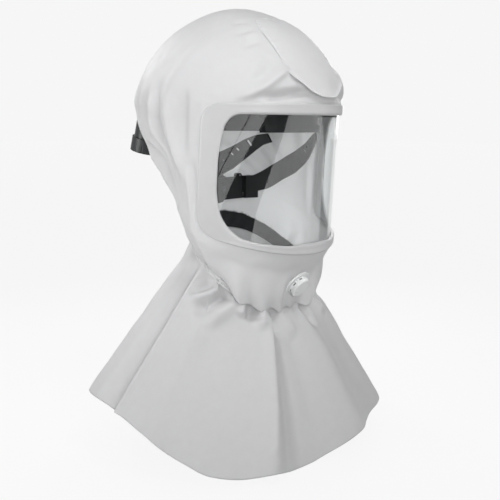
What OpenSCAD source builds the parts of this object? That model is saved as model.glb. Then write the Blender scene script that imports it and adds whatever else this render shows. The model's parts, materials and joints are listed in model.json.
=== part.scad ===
// Headtop of a powered air respirator: hood, visor, headgear, air inlet and exhalation valve.
// Origin: centre of the head at brow height. +Z is up and the wearer faces -Y.

/* [Hood] */
// Height of the crown above the brow line
crown_h = 130; // [115:1:150]
// Height where the visor frame ends and the crown starts
frame_top = 20; // [16:1:26]
// Distance from the head centre to the front of the visor
face_y = 120; // [112:1:130]
// Distance from the head centre to the back of the hood
back_y = 138; // [130:1:150]
// Outside radius of the curved face
face_r = 112; // [106:1:118]
// Thickness of the coated hood cloth
cloth_t = 2; // [1.5:0.1:3]
// Distance that the foot of the visor lies behind its head
face_lean = 10; // [6:1:14]

/* [Visor] */
// Height of the window's upper edge
window_top = 9; // [5:1:12]
// Height of the window's lower edge
window_foot = -135; // [-140:1:-125]
// Width of the band under the window
frame_band = 11; // [8:1:14]
// Thickness of the lens
lens_t = 1; // [0.5:0.1:1.5]
// Margin of the lens behind the frame
lens_lap = 5; // [3:1:6]
// Corner radius of the lens
lens_corner = 16; // [8:1:24]

/* [Neck and cape] */
// Height of the neck gather at the front
neck_front_z = -204; // [-212:1:-196]
// Height of the neck gather at the back
neck_back_z = -121; // [-128:1:-112]
// Half the width of the neck gather
neck_half = 83; // [78:1:90]
// Distance from the head centre to the front of the neck gather
neck_front_y = 70; // [66:1:76]
// Distance from the head centre to the back of the neck gather
neck_rear_y = 48; // [46:1:56]
// Half the width of the cape at its hem
hem_half = 200; // [180:1:220]
// Half the length of the cape at its hem
hem_long = 155; // [140:1:170]
// Height of the hem at its middle
hem_z = -340; // [-370:1:-310]
// Drop of the hem at the front and rise at the back
hem_slope = 18; // [0:1:30]
// Height of the elastic casing at the neck
casing_h = 9; // [7:0.5:11]
// Thickness of the elastic casing
casing_t = 5; // [4:0.5:6]
// Height of the black inner neck seal
seal_h = 24; // [16:1:30]
// Thickness of the inner neck seal
seal_t = 3.5; // [2.5:0.5:5]

/* [Headgear] */
// Half the inside width of the head band
band_half = 76; // [70:1:80]
// Inside distance from the head centre to the front of the head band
band_front = 94; // [88:1:97]
// Inside distance from the head centre to the back of the head band
band_back = 90; // [84:1:91]
// Thickness of the head band
band_t = 2.5; // [2:0.1:3]
// Top of the brow bar
bar_top = 13; // [10:1:14]
// Foot of the brow bar
bar_foot = -11; // [-14:1:-9]
// Thickness of the sweatband
pad_t = 3; // [2:0.5:4]
// Height of the knob's centre
knob_z = -80; // [-84:1:-76]
// Radius of the knob
knob_r = 18; // [14:1:20]
// Number of teeth on the pinion
pinion_teeth = 12; // [10:1:14]
// Tooth module of the pinion and the racks
tooth_m = 1; // [0.8:0.1:1.2]
// Length that each rack can travel
rack_travel = 9; // [5:1:10]
// Width of the crown straps
strap_w = 20; // [14:1:26]

/* [Air path] */
// Inside radius of the arched air duct
duct_r = 97; // [95:1:98]
// Depth of the air duct
duct_deep = 11; // [9:1:12]
// Width of the air duct
duct_w = 56; // [44:1:64]
// Wall of the air duct
duct_wall = 1.5; // [1.2:0.1:2]
// Distance from the head centre to the centre of the inlet elbow
elbow_y = 156; // [152:1:162]
// Height of the centre of the inlet elbow
elbow_z = -12; // [-15:1:-9]
// Outside radius of the inlet elbow
elbow_r = 18; // [16.5:0.5:19]
// Tilt of the hose socket from straight down
socket_tilt = 15; // [0:1:25]
// Radius of the hose socket's bore
socket_r = 16; // [14.8:0.1:17]
// Depth of the hose socket's bore
socket_deep = 10; // [8:1:16]
// Radius of the elbow neck that the hose socket swivels on
neck_pipe_r = 17; // [16.2:0.1:17.6]
// Radius of the spigot that passes through the hood
spigot_r = 12; // [10:0.5:12]

/* [Exhalation valve] */
// Distance of the valve's centre in front of the head centre
valve_y = 84; // [80:1:90]
// Radius of the valve's flange
valve_flange_r = 18; // [15:0.5:20]
// Radius of the valve's throat
valve_throat_r = 11; // [9:0.5:12]
// Height of the valve's cap
valve_cap_h = 6.5; // [5:0.5:9]
// Lift of the valve's disc
valve_lift = 1.6; // [1:0.1:2]

/* [Hidden] */

gap = 0.3;              // air between pieces that touch
run = 0.05;             // radial clearance of a running fit
round_fn = 64;
edge_deg = 75;          // angle where the face curve ends and the side starts
dome_power = 2 / 1.78;  // a little more pointed than an ellipse
ridge = 0.045;          // length of the crown's ridge as a share of the hood
crown_c = 9;            // the crown narrows towards this place on Y
side_step = 7.5;        // degrees between the hood's columns
window_deg = edge_deg - side_step;  // half the angle that the window wraps round the face
dome_rows = 6;

function mix(a, b, t) = a + (b - a) * t;
function clamp01(t) = min(1, max(0, t));

// ---- Surface of the hood ----
// Level t is 0 at the top of the visor frame and 1 at the neck gather.
frame_foot_t = (frame_top - window_foot + frame_band) / (frame_top - neck_front_z);
edge_x = face_r * sin(edge_deg);
edge_back = face_r * (1 - cos(edge_deg));  // depth of the face curve from its front to its edge

// Height of the neck gather at an angle from the front
function neck_z(th) = mix(neck_back_z, neck_front_z, pow((1 + cos(th)) / 2, 1.3));

// Half width of the hood at a level, where the side starts
function side_x(t) = lookup(t, [
    [0, edge_x], [frame_foot_t, edge_x], [0.9, mix(neck_half, edge_x, 0.6)],
    [1, neck_half]]);
// Front of the hood at a level
function front_y(t) = t < frame_foot_t
    ? -face_y + face_lean * t / frame_foot_t
    : mix(-face_y + face_lean, -neck_front_y, (t - frame_foot_t) / (1 - frame_foot_t));
// Where the side starts at a level
function side_y(t) = t < frame_foot_t
    ? front_y(t) + edge_back
    : mix(front_y(frame_foot_t) + edge_back, -neck_front_y / 2, (t - frame_foot_t) / (1 - frame_foot_t));
// Back of the hood at a level: full behind the head, then tucked in under it
function rear_y(t) = lookup(t, [
    [0, back_y], [0.12, back_y - 1], [0.25, back_y - 10], [0.4, back_y - 35],
    [0.53, back_y - 56], [0.67, back_y - 78], [0.81, neck_rear_y + 1], [0.9, neck_rear_y],
    [1, neck_rear_y]]);
// Extra fullness of the side behind the face
function fullness(t) = 8 * clamp01(1 - t / 0.5);

// Point of a closed plan curve at an angle from the front, positive to +X
function plan(th, x, y_side, y_front, y_rear, full) =
    let (a = abs(th), s = sign(th), turn = (a - edge_deg) / (180 - edge_deg) * 90)
    a <= edge_deg
        ? [s * x * sin(a) / sin(edge_deg),
           mix(y_side, y_front, (cos(a) - cos(edge_deg)) / (1 - cos(edge_deg)))]
        : [s * (x * cos(turn) + full * sin(2 * turn)), mix(y_side, y_rear, sin(turn))];

function level(th, t, off) =
    plan(th, side_x(t) + off, side_y(t), front_y(t) - off, rear_y(t) + off, fullness(t));

// Point of the hood below the frame's top edge
function lower_point(th, t, off) =
    let (p = level(th, t, off))
    [p[0], p[1], mix(frame_top, neck_z(th), t)];

// Point of the crown: m is 0 on top and 1 at the frame's top edge
function crown_point(th, m, off) =
    let (w = pow(sin(90 * m), dome_power), p = level(th, 0, off))
    [w * p[0],
     crown_c + (w + ridge * (1 - m)) * (p[1] - crown_c),
     frame_top + (crown_h - frame_top + off) * pow(cos(90 * m), dome_power)];

// ---- Solids from grids of points ----
// Closed shell between two grids, over the cells that keep(i, j) allows
module grid_shell(outer, inner, keep) {
    rows = len(outer);
    cols = len(outer[0]);
    count = rows * cols;
    function id(i, j) = i * cols + j;
    function on(i, j) = i >= 0 && j >= 0 && i < rows - 1 && j < cols - 1 && keep(i, j);
    function wall(a, b) = [[a, b, b + count], [a, b + count, a + count]];
    function far_wall(a, b) = [[a, b, a + count], [b, b + count, a + count]];
    faces = [
        for (i = [0 : rows - 2]) for (j = [0 : cols - 2]) if (on(i, j))
            let (a = id(i, j), b = id(i, j + 1), c = id(i + 1, j + 1), d = id(i + 1, j))
            each concat(
                [[a, d, c], [a, c, b]],
                [[a + count, c + count, d + count], [a + count, b + count, c + count]],
                on(i - 1, j) ? [] : wall(a, b),
                on(i + 1, j) ? [] : far_wall(c, d),
                on(i, j - 1) ? [] : far_wall(d, a),
                on(i, j + 1) ? [] : wall(b, c))
    ];
    polyhedron(points = concat([for (r = outer) each r], [for (r = inner) each r]), faces = faces);
}

// Closed ring through equal sections, each a list of points that runs round its own edge
module ring_solid(sections) {
    n = len(sections);
    k = len(sections[0]);
    faces = [
        for (i = [0 : n - 1]) for (j = [0 : k - 1])
            let (a = i * k + j, b = i * k + (j + 1) % k,
                 c = ((i + 1) % n) * k + (j + 1) % k, d = ((i + 1) % n) * k + j)
            each [[a, b, c], [a, c, d]]
    ];
    polyhedron(points = [for (s = sections) each s], faces = faces);
}

// ---- Hood ----
side_cols = 180 / side_step;
edge_col = edge_deg / side_step;
lower_levels = [for (k = [0 : 7]) frame_foot_t * k / 7, mix(frame_foot_t, 1, 0.5), 1];
chin_cols = 2 * edge_col;

function side_grid(s, off) = [
    for (i = [0 : dome_rows]) [for (j = [0 : side_cols])
        let (p = crown_point(j * side_step, i / dome_rows, off)) [s * p[0], p[1], p[2]]],
    for (k = [1 : len(lower_levels) - 1]) [for (j = [0 : side_cols])
        let (p = lower_point(j * side_step, lower_levels[k], off)) [s * p[0], p[1], p[2]]]
];

// Hole for the inlet's cuff, straight through the hood's back
module inlet_hole() {
    translate([0, elbow_y, elbow_z]) rotate([90, 0, 0])
        cylinder(r = cuff_r + gap, h = 80, $fn = round_fn);
}

module side_panel() {
    difference() {
        grid_shell(side_grid(1, 0), side_grid(1, -cloth_t),
                   function(i, j) i < dome_rows || j >= edge_col);
        inlet_hole();
    }
}

module hood_left() {
    color("whitesmoke") side_panel();
}

module hood_right() {
    color("white") mirror([1, 0, 0]) side_panel();
}

// Shield-shaped flap sewn on the forehead, with a free lower edge
flap_rows = 8;
flap_cols = 8;
function flap_half(v) = lookup(v, [[0, 34], [0.35, 42], [0.65, 41], [0.85, 32], [1, 10]]);
function flap_grid(off) = [
    for (i = [0 : flap_rows]) [for (j = [0 : flap_cols])
        let (v = i / flap_rows, m = mix(0.36, 0.95, v),
             w = pow(sin(90 * m), dome_power),
             x = flap_half(v) * (2 * j / flap_cols - 1))
        crown_point(asin(x * sin(edge_deg) / (w * edge_x)), m, off)]
];
module brow_flap() {
    color("whitesmoke")
        grid_shell(flap_grid(cloth_t + gap), flap_grid(gap + 0.3), function(i, j) true);
}

function chin_grid(off) = [
    for (k = [7 : 9]) [for (j = [0 : chin_cols])
        lower_point(-edge_deg + j * side_step, lower_levels[k], off)]
];
module chin_panel() {
    color("white") difference() {
        grid_shell(chin_grid(0), chin_grid(-cloth_t), function(i, j) true);
        at_valve() translate([0, 0, -15])
            cylinder(r = valve_tube_r + gap, h = 30, $fn = round_fn);
    }
}

// ---- Visor ----
frame_cols = chin_cols;
hole_col = 1;
window_top_t = (frame_top - window_top) / (frame_top - neck_front_z);
window_foot_t = (frame_top - window_foot) / (frame_top - neck_front_z);
frame_heights = [0, window_top_t, for (k = [1 : 4]) mix(window_top_t, window_foot_t, k / 4), frame_foot_t];
function frame_grid(off) = [
    for (t = frame_heights) [for (j = [0 : frame_cols])
        lower_point(-edge_deg + j * side_step, t, off)]
];
module visor_frame() {
    color("white") grid_shell(frame_grid(0), frame_grid(-cloth_t),
        function(i, j) i == 0 || i == len(frame_heights) - 2 || j < hole_col
                       || j >= frame_cols - hole_col);
}

lens_r = face_r - cloth_t - 3 * gap;
lens_deg = window_deg + lens_lap / lens_r * 180 / PI;
lens_top = window_top + lens_lap - 1;
lens_foot = window_foot - lens_lap + 1;
face_tilt = atan(face_lean / (frame_top - window_foot + frame_band));
// Height of the window's foot at its sides, where the neck rises towards the back
side_foot = mix(frame_top, neck_z(window_deg), window_foot_t) - lens_lap + 1;
// Outline of the lens laid flat, then seen from the front
function corner(cx, cz, from) = [
    for (k = [0 : 8]) [cx + lens_corner * cos(from + k * 11.25), cz + lens_corner * sin(from + k * 11.25)]
];
lens_half = lens_r * lens_deg * PI / 180;
lens_flat = concat(
    corner(lens_half - lens_corner, lens_top - lens_corner, 0),
    corner(-lens_half + lens_corner, lens_top - lens_corner, 90),
    corner(-lens_half + lens_corner, side_foot + lens_corner, 180),
    [for (k = [-5 : 5]) [lens_half * 0.8 * k / 5, mix(lens_foot, side_foot, pow(k / 5, 2) * 0.7)]],
    corner(lens_half - lens_corner, side_foot + lens_corner, 270));
function bend(p) = [lens_r * sin(p[0] / lens_r * 180 / PI), p[1]];

module visor_lens() {
    color([0.8, 0.9, 0.95, 0.35]) intersection() {
        translate([0, -face_y + face_r, frame_top]) rotate([face_tilt, 0, 0])
            translate([0, 0, -190]) difference() {
                cylinder(r = lens_r, h = 200, $fn = 180);
                translate([0, 0, -1]) cylinder(r = lens_r - lens_t, h = 202, $fn = 180);
            }
        translate([0, -20, 0]) rotate([90, 0, 0])
            linear_extrude(height = 140) polygon([for (p = lens_flat) bend(p)]);
    }
}

// ---- Neck ----
ring_steps = 48;
// Section of a band that follows the neck, from one offset to another and between two heights
function neck_section(th, out, thick, top, tall) =
    let (a = level(th, 1, out - thick), b = level(th, 1, out), z = neck_z(th) + top)
    [[a[0], a[1], z], [b[0], b[1], z], [b[0], b[1], z - tall], [a[0], a[1], z - tall]];
function neck_ring(out, thick, top, tall) = [
    for (k = [0 : ring_steps - 1]) neck_section(-180 + k * 360 / ring_steps, out, thick, top, tall)
];
casing_wall = 1.2;
casing_out = casing_t - cloth_t;
// Channel section, open towards the neck, that the elastic lies in
function casing_section(th) =
    let (whole = neck_section(th, casing_out, casing_t, -gap, casing_h),
         way = neck_section(th, casing_out - casing_wall, casing_t - casing_wall,
                            -gap - casing_wall, casing_h - 2 * casing_wall))
    [whole[0], whole[1], whole[2], whole[3], way[3], way[2], way[1], way[0]];
module neck_casing() {
    color("white") ring_solid([for (k = [0 : ring_steps - 1]) casing_section(-180 + k * 360 / ring_steps)]);
}
module neck_elastic() {
    inset = casing_wall + gap;
    color("gainsboro")
        ring_solid(neck_ring(casing_out - inset, casing_t - 2 * inset, -gap - inset, casing_h - 2 * inset));
}
module neck_seal() {
    color("black") ring_solid(neck_ring(-cloth_t - gap, seal_t, 8, seal_h));
}

// ---- Cape ----
cape_rows = 5;
cape_cols = 24;
cape_top = -casing_h - 2 * gap;
function hem_height(th) = hem_z - hem_slope * cos(th);
function cape_point(th, c, off) =
    let (n = level(th, 1, off), h = [(hem_half + off) * sin(th), crown_c - (hem_long + off) * cos(th)])
    [mix(n[0], h[0], c), mix(n[1], h[1], c), mix(neck_z(th) + cape_top, hem_height(th), c)];
function cape_grid(from, to, off) = [
    for (i = [0 : cape_rows]) [for (j = [0 : cape_cols])
        cape_point(mix(from, to, j / cape_cols), i / cape_rows, off)]
];
module cape_front() {
    color("white")
        grid_shell(cape_grid(-90, 90, 1), cape_grid(-90, 90, 1 - cloth_t), function(i, j) true);
}
// The back is drawn turned about, so that its angles run on past 90 degrees
function turned(th) = th > 180 ? th - 360 : th;
function cape_back_grid(off) = [
    for (i = [0 : cape_rows]) [for (j = [0 : cape_cols])
        cape_point(turned(mix(90, 270, j / cape_cols)), i / cape_rows, off)]
];
module cape_back() {
    color("whitesmoke")
        grid_shell(cape_back_grid(1), cape_back_grid(1 - cloth_t), function(i, j) true);
}

// ---- Headgear ----
arc_steps = 72;
// Oval of the head band, grown by an offset
function band_oval(off) = [
    for (k = [0 : arc_steps - 1])
        let (a = k * 360 / arc_steps, y = -cos(a))
        [(band_half + off) * sin(a), y < 0 ? (band_front + off) * y : (band_back + off) * y]
];
// Upright wall that follows the head band
module band_wall(off, thick, z0, z1) {
    translate([0, 0, z0]) linear_extrude(height = z1 - z0) difference() {
        polygon(band_oval(off + thick));
        polygon(band_oval(off));
    }
}
bar_deg = 42;
bar_x = band_half * sin(bar_deg);
lip_h = 8;
lip_t = 3;
notch_w = 4;
notch_h = 5;
notch_degs = [-26, 0, 26];
// Block in front of the head, as wide as the brow bar
module bar_zone(extra) {
    translate([-bar_x - extra, -140, -60]) cube([2 * (bar_x + extra), 140, 120]);
}
module brow_bar() {
    color([0.13, 0.13, 0.14]) difference() {
        intersection() {
            union() {
                band_wall(0, band_t, bar_foot, bar_top);
                band_wall(band_t - 0.5, lip_t + 0.5, bar_foot, bar_foot + lip_h);
            }
            bar_zone(0);
        }
        for (a = notch_degs)
            translate([(band_half + band_t) * sin(a), 0, bar_top])
                rotate([90, 0, 0]) linear_extrude(height = 140)
                    polygon([[-notch_w / 2, 1], [0, -notch_h], [notch_w / 2, 1]]);
    }
}
module sweatband() {
    color("dimgray") intersection() {
        band_wall(-pad_t - gap, pad_t, bar_foot + 1, bar_top - 6);
        bar_zone(-3);
    }
}
band_top = 22;
band_foot = -9;
module head_band() {
    color([0.13, 0.13, 0.14]) difference() {
        band_wall(0, band_t, band_foot, band_top);
        bar_zone(gap);
        for (s = [-1, 1])
            translate([s * (band_half - 5), strap_y, stud_z]) rotate([0, 90, 0])
                cylinder(r = stud_r + run, h = 30, center = true, $fn = round_fn);
    }
}

// Each arm runs from the end of the brow bar down and back to the nape
nape_half = 75;
nape_mid = -25;
nape_back = 28;
nape_power = 2.8;
function nape_oval(off) = [
    for (k = [0 : arc_steps - 1])
        let (a = k * 360 / arc_steps, y = -cos(a), front = band_oval(off)[k])
        front[1] < nape_mid ? front
            : let (q = (front[1] - nape_mid) / (band_back + off - nape_mid) * 90)
              [sign(sin(a)) * (nape_half + off) * pow(cos(q), 2 / nape_power),
               nape_mid + (nape_back + off - nape_mid) * pow(sin(q), 2 / nape_power)]
];
// Middle line of the arm seen from the side: place on Y, height and half width
arm_line = [[-78, bar_foot - 5.4, 5], [-70, -19, 6], [-62, -24.5, 7.5], [-52, -32.5, 9], [-40, -40.5, 11],
            [-20, -51, 12], [0, -62, 11], [16, -74, 10], [30, -80, 9]];
function arm_normal(k) =
    let (a = arm_line[max(0, k - 1)], b = arm_line[min(len(arm_line) - 1, k + 1)],
         d = [b[0] - a[0], b[1] - a[1]])
    [-d[1], d[0]] / norm(d);
function arm_edge(s) = [
    for (k = [0 : len(arm_line) - 1])
        let (n = arm_normal(k)) [arm_line[k][0] + s * arm_line[k][2] * n[0],
                                 arm_line[k][1] + s * arm_line[k][2] * n[1]]
];
module arm_side() {
    difference() {
        polygon(concat(arm_edge(1), [for (k = [len(arm_line) - 1 : -1 : 0]) arm_edge(-1)[k]]));
        // Long slot, two short slots and a pin hole for adjusting the arm
        translate([-62, -22]) rotate(-30) slot(8, 3);
        translate([-51, -29]) rotate(-50) slot(5, 2.6);
        translate([-45, -34]) rotate(-50) slot(5, 2.6);
        translate([-36, -41]) circle(r = 1.2, $fn = round_fn);
    }
}
module slot(long, wide) {
    for (s = [-1, 1]) translate([0, s * (long - wide) / 2]) circle(d = wide, $fn = 32);
    square([wide, long - wide], center = true);
}
guide_in = 40;
guide_out = 56;
guide_front = 17;
// Arm of the +X side; its rack runs below the knob's centre for rise -1 and above it for rise 1
module arm(rise) {
    difference() {
        union() {
            intersection() {
                translate([0, 0, -110]) linear_extrude(height = 130) difference() {
                    polygon(nape_oval(band_t));
                    polygon(nape_oval(0));
                }
                rotate([90, 0, 90]) linear_extrude(height = 100) arm_side();
                translate([guide_in, -100, -100]) cube([100, 200, 100 + bar_foot - gap]);
            }
            translate([guide_in, guide_front, knob_z - guide_tall / 2])
                cube([guide_out - guide_in, rack_back + 3 - guide_front, guide_tall]);
        }
        // Way for the rack, open at both ends
        translate([guide_in - 1, rack_front - gap, knob_z + rise * rack_mid - rack_tall / 2 - gap])
            cube([60, rack_t + 2 * gap, rack_tall + 2 * gap]);
        // Head side of the guide follows the head
        translate([0, 0, -110]) linear_extrude(height = 130) polygon(nape_oval(0));
    }
}
module arm_left() {
    color([0.15, 0.15, 0.16]) arm(-1);
}
module arm_right() {
    color([0.15, 0.15, 0.16]) mirror([1, 0, 0]) arm(1);
}

// Straps over the crown, lapped on top and pegged together
strap_y = 12;
strap_t = 1.8;
strap_rise = 66;
strap_mid = band_top;
stud_z = 12;
strap_lap = 26;
stud_r = 2.5;
function strap_arc(off) = [
    for (k = [0 : 40]) [(band_half + band_t + gap + off) * cos(k * 4.5),
                        strap_mid + (strap_rise + off) * sin(k * 4.5)]
];
// The arc with straight legs down past the head band
function strap_loop(off) =
    let (x = band_half + band_t + gap + off)
    concat(strap_arc(off), [[-x, -2 - off], [x, -2 - off]]);
module strap_half(off) {
    translate([0, strap_y + strap_w / 2, 0]) rotate([90, 0, 0]) linear_extrude(height = strap_w)
        intersection() {
            difference() {
                polygon(strap_loop(off + strap_t));
                polygon(strap_loop(off));
            }
            translate([-strap_lap, -1]) square([130, 130]);
        }
}
peg_x = 15;
peg_r = 2;
module peg_holes() {
    for (x = [-peg_x, peg_x]) translate([x, strap_y, strap_mid + strap_rise - 10])
        cylinder(r = peg_r + run, h = 30, $fn = round_fn);
}
module crown_strap_left() {
    color([0.18, 0.18, 0.19]) {
        difference() {
            strap_half(0);
            peg_holes();
            strap_bore();
        }
    }
}
module crown_strap_right() {
    color([0.18, 0.18, 0.19]) difference() {
        mirror([1, 0, 0]) strap_half(strap_t + gap);
        peg_holes();
        mirror([1, 0, 0]) strap_bore();
    }
}
module strap_bore() {
    translate([band_half - 2, strap_y, stud_z]) rotate([0, 90, 0])
        cylinder(r = stud_r + run, h = 30, $fn = round_fn);
}
module strap_pegs() {
    color("gray") {
        for (x = [-peg_x, peg_x]) {
            translate([x, strap_y, strap_mid + strap_rise - 4]) {
                cylinder(r = peg_r, h = 7.5, $fn = round_fn);
                translate([0, 0, 7.3]) cylinder(r = peg_r + 1, h = 1, $fn = round_fn);
            }
        }
        // Side studs; the right strap lies further out than the left one
        for (s = [0, 1]) mirror([s, 0, 0]) {
            out = band_half + band_t + gap + strap_t + s * (strap_t + gap);
            translate([band_half - 1.5, strap_y, stud_z]) rotate([0, 90, 0])
                cylinder(r = stud_r, h = out + 1.5 + gap - band_half, $fn = round_fn);
            translate([out + gap, strap_y, stud_z]) rotate([0, 90, 0])
                cylinder(r = stud_r + 1.5, h = 1.2, $fn = round_fn);
        }
    }
}

// Standoffs that carry the visor frame on the brow bar
bracket_degs = [-33, 33];
module visor_brackets() {
    color([0.2, 0.2, 0.21]) for (a = bracket_degs) intersection() {
        rotate([0, 0, a]) translate([-6, -140, bar_top - 7]) cube([12, 60, 6.5]);
        linear_extrude(height = 60) difference() {
            polygon([for (a = [-60 : 2 : 60]) level(a, 0, -cloth_t - lens_t - 7 * gap), [0, 0]]);
            polygon(band_oval(band_t + 0.02));
        }
    }
}

// ---- Nape ratchet ----
pitch_r = tooth_m * pinion_teeth / 2;
rack_t = 3;
rack_front = 28;
rack_back = rack_front + rack_t;
rack_h = 4;
rack_in = 12;             // length of rack past the knob's centre at rest
rack_out = 52;            // length of rack on its own side at rest
backlash = 0.25;
rack_addendum = 0.6 * tooth_m;
pinion_addendum = 0.8 * tooth_m;
dedendum = 1.1 * tooth_m;
rack_tall = rack_h + dedendum + rack_addendum;
rack_mid = pitch_r - rack_addendum + rack_tall / 2;  // from the knob's centre to the rack's middle
rack_slot_h = 2 * (rack_mid + rack_tall / 2 + gap);
guide_tall = rack_slot_h + 5;
pressure = 20;
house_wall = 2;
pin_r = 1;                // radius of the screw that holds the knob

// Involute flanks of the pinion
base_r = pitch_r * cos(pressure);
tip_r = pitch_r + pinion_addendum;
root_r = pitch_r - dedendum;
function roll(r) = r <= base_r ? 0 : sqrt(pow(r / base_r, 2) - 1) * 180 / PI;
function flank_deg(r) = roll(r) - atan(roll(r) * PI / 180);
half_tooth = 90 / pinion_teeth - backlash / pitch_r * 45 / PI + flank_deg(pitch_r);
function tooth(k) =
    let (c = 90 + k * 360 / pinion_teeth, rs = [root_r, base_r, pitch_r, tip_r])
    concat([for (r = rs) let (a = c + half_tooth - flank_deg(r)) [r * cos(a), r * sin(a)]],
           [for (q = [3 : -1 : 0]) let (r = rs[q], a = c - half_tooth + flank_deg(r))
               [r * cos(a), r * sin(a)]]);
module ratchet_pinion() {
    color("silver") translate([0, rack_back, knob_z]) rotate([90, 0, 0]) {
        difference() {
            linear_extrude(height = rack_t)
                polygon([for (k = [pinion_teeth - 1 : -1 : 0]) each tooth(k)]);
            translate([0, 0, -1]) cylinder(r = pin_r + run, h = 20, $fn = 32);
        }
        // Shaft out through the cover to the knob, and a short spigot in the housing
        difference() {
            union() {
                translate([0, 0, -shaft_long]) cylinder(r = shaft_r, h = shaft_long + 0.01, $fn = round_fn);
                translate([0, 0, rack_t - 0.01]) cylinder(r = shaft_r, h = 1.8, $fn = round_fn);
            }
            translate([0, 0, -shaft_long - 1]) cylinder(r = pin_r + run, h = 30, $fn = 32);
        }
    }
}
shaft_r = 3;
shaft_in = 4.5;           // depth of the shaft in the knob
shaft_long = shaft_in + 2 * gap + house_wall;

// One rack: a strip with teeth towards the knob, drawn for the strap of the +X side, teeth up
pitch = PI * tooth_m;
module rack_strip() {
    thick_at_pitch = pitch / 2 - backlash;
    top = rack_addendum;
    base = -dedendum;
    half_top = thick_at_pitch / 2 - top * tan(pressure);
    half_base = thick_at_pitch / 2 - base * tan(pressure);
    teeth_low = -floor((rack_in - 2) / pitch);
    teeth_high = floor((rack_in + rack_travel + 2) / pitch);
    translate([0, rack_back, knob_z - pitch_r]) rotate([90, 0, 0]) linear_extrude(height = rack_t) {
        translate([-rack_in, base - rack_h]) square([rack_in + rack_out, rack_h + 0.01]);
        for (k = [teeth_low : teeth_high])
            translate([k * pitch + pitch / 2 * (pinion_teeth % 2 == 0 ? 1 : 0), 0])
                polygon([[-half_base, base], [half_base, base], [half_top, top], [-half_top, top]]);
    }
}
module rack_left() {
    color("dimgray") rack_strip();
}
module rack_right() {
    color("dimgray") translate([0, 0, knob_z]) rotate([0, 180, 0]) translate([0, 0, -knob_z]) rack_strip();
}

house_half = guide_in - 1.5 - rack_travel / 2;
house_h = rack_slot_h + 2 * house_wall;
house_front = rack_front - gap - house_wall;
cover_back = rack_back + gap + house_wall;
screw_x = house_half - 4;
screw_r = 1.2;
boss_z = house_h / 2 - 2.6;
module screw_places() {
    for (x = [-screw_x, screw_x]) translate([x, 0, knob_z + house_h / 2 + 1.8]) children();
}
module house_outline() {
    square([2 * house_half, house_h], center = true);
    for (x = [-screw_x, screw_x]) translate([x, house_h / 2 + 1]) circle(r = 3.4, $fn = 32);
}
module ratchet_housing() {
    color([0.12, 0.12, 0.13]) difference() {
        translate([0, rack_back + gap, knob_z]) rotate([90, 0, 0])
            linear_extrude(height = rack_back + gap - house_front) house_outline();
        translate([-60, rack_front - gap, knob_z - rack_slot_h / 2])
            cube([120, rack_t + 3 * gap, rack_slot_h]);
        translate([0, rack_front + 1, knob_z]) rotate([90, 0, 0])
            cylinder(r = shaft_r + run, h = 10, $fn = round_fn);
        screw_places() rotate([90, 0, 0])
            cylinder(r = screw_r + run, h = 100, center = true, $fn = 32);
    }
}
module ratchet_cover() {
    color([0.16, 0.16, 0.17]) difference() {
        translate([0, cover_back, knob_z]) rotate([90, 0, 0])
            linear_extrude(height = house_wall) house_outline();
        translate([0, cover_back + 1, knob_z]) rotate([90, 0, 0])
            cylinder(r = shaft_r + run, h = 10, $fn = round_fn);
        screw_places() rotate([90, 0, 0])
            cylinder(r = screw_r + run, h = 100, center = true, $fn = 32);
    }
}
module cover_screws() {
    color("silver") screw_places() {
        translate([0, cover_back, 0]) rotate([90, 0, 0])
            cylinder(r = screw_r, h = cover_back - house_front - 0.5, $fn = 32);
        translate([0, cover_back + 1, 0]) rotate([90, 0, 0]) cylinder(r = 2.2, h = 1, $fn = 32);
    }
}
knob_front = cover_back + gap;
knob_h = 7;
grip_count = 18;
module ratchet_knob() {
    color([0.1, 0.1, 0.11]) translate([0, knob_front + knob_h, knob_z]) rotate([90, 0, 0])
        difference() {
            cylinder(r = knob_r, h = knob_h, $fn = 96);
            for (k = [0 : grip_count - 1]) rotate(k * 360 / grip_count)
                translate([knob_r + 1, 0, -1]) cylinder(r = 2, h = knob_h + 2, $fn = 24);
            translate([0, 0, knob_h - shaft_in]) cylinder(r = shaft_r, h = 20, $fn = round_fn);
            translate([0, 0, -1]) cylinder(r = 3.2, h = 2.5, $fn = 32);
            cylinder(r = pin_r + run, h = 20, $fn = 32);
        }
}
module knob_screw() {
    color("silver") translate([0, knob_front + knob_h - 0.2, knob_z]) rotate([90, 0, 0]) {
        cylinder(r = 2.8, h = 1.3, $fn = 32);
        cylinder(r = pin_r, h = 11, $fn = 32);
    }
}

// ---- Air duct over the crown ----
duct_c = 2;               // centre of the arch on Y
duct_lo = -14;            // lower end of the arch at the back, degrees
duct_hi = 167;            // front end of the arch, degrees
duct_out = duct_r + duct_deep;
// Sweeps a section of [radius, width] points about the X axis, from the back over the crown
module duct_sweep(a0, a1) {
    translate([0, duct_c, 0]) rotate([0, 90, 0]) rotate([0, 0, 90])
        rotate([0, 0, a0]) rotate_extrude(angle = a1 - a0, $fn = 180) children();
}
module duct_tray() {
    color([0.16, 0.16, 0.17]) {
        duct_sweep(duct_lo, duct_hi) difference() {
            translate([duct_r, -duct_w / 2]) square([duct_deep - duct_wall, duct_w]);
            translate([duct_r + duct_wall, -duct_w / 2 + duct_wall])
                square([duct_deep, duct_w - 2 * duct_wall]);
        }
        duct_sweep(duct_lo, duct_lo + 1.5)
            translate([duct_r, -duct_w / 2]) square([duct_deep - duct_wall, duct_w]);
    }
}
module duct_cover() {
    color([0.19, 0.19, 0.2]) difference() {
        duct_sweep(duct_lo, duct_hi)
            translate([duct_out - duct_wall + gap, -duct_w / 2]) square([duct_wall, duct_w]);
        translate([0, elbow_y, elbow_z]) rotate([90, 0, 0])
            cylinder(r = spigot_r + run, h = 80, $fn = round_fn);
    }
}
diffuser_w = duct_w - 2 * duct_wall - 2 * gap;
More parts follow.
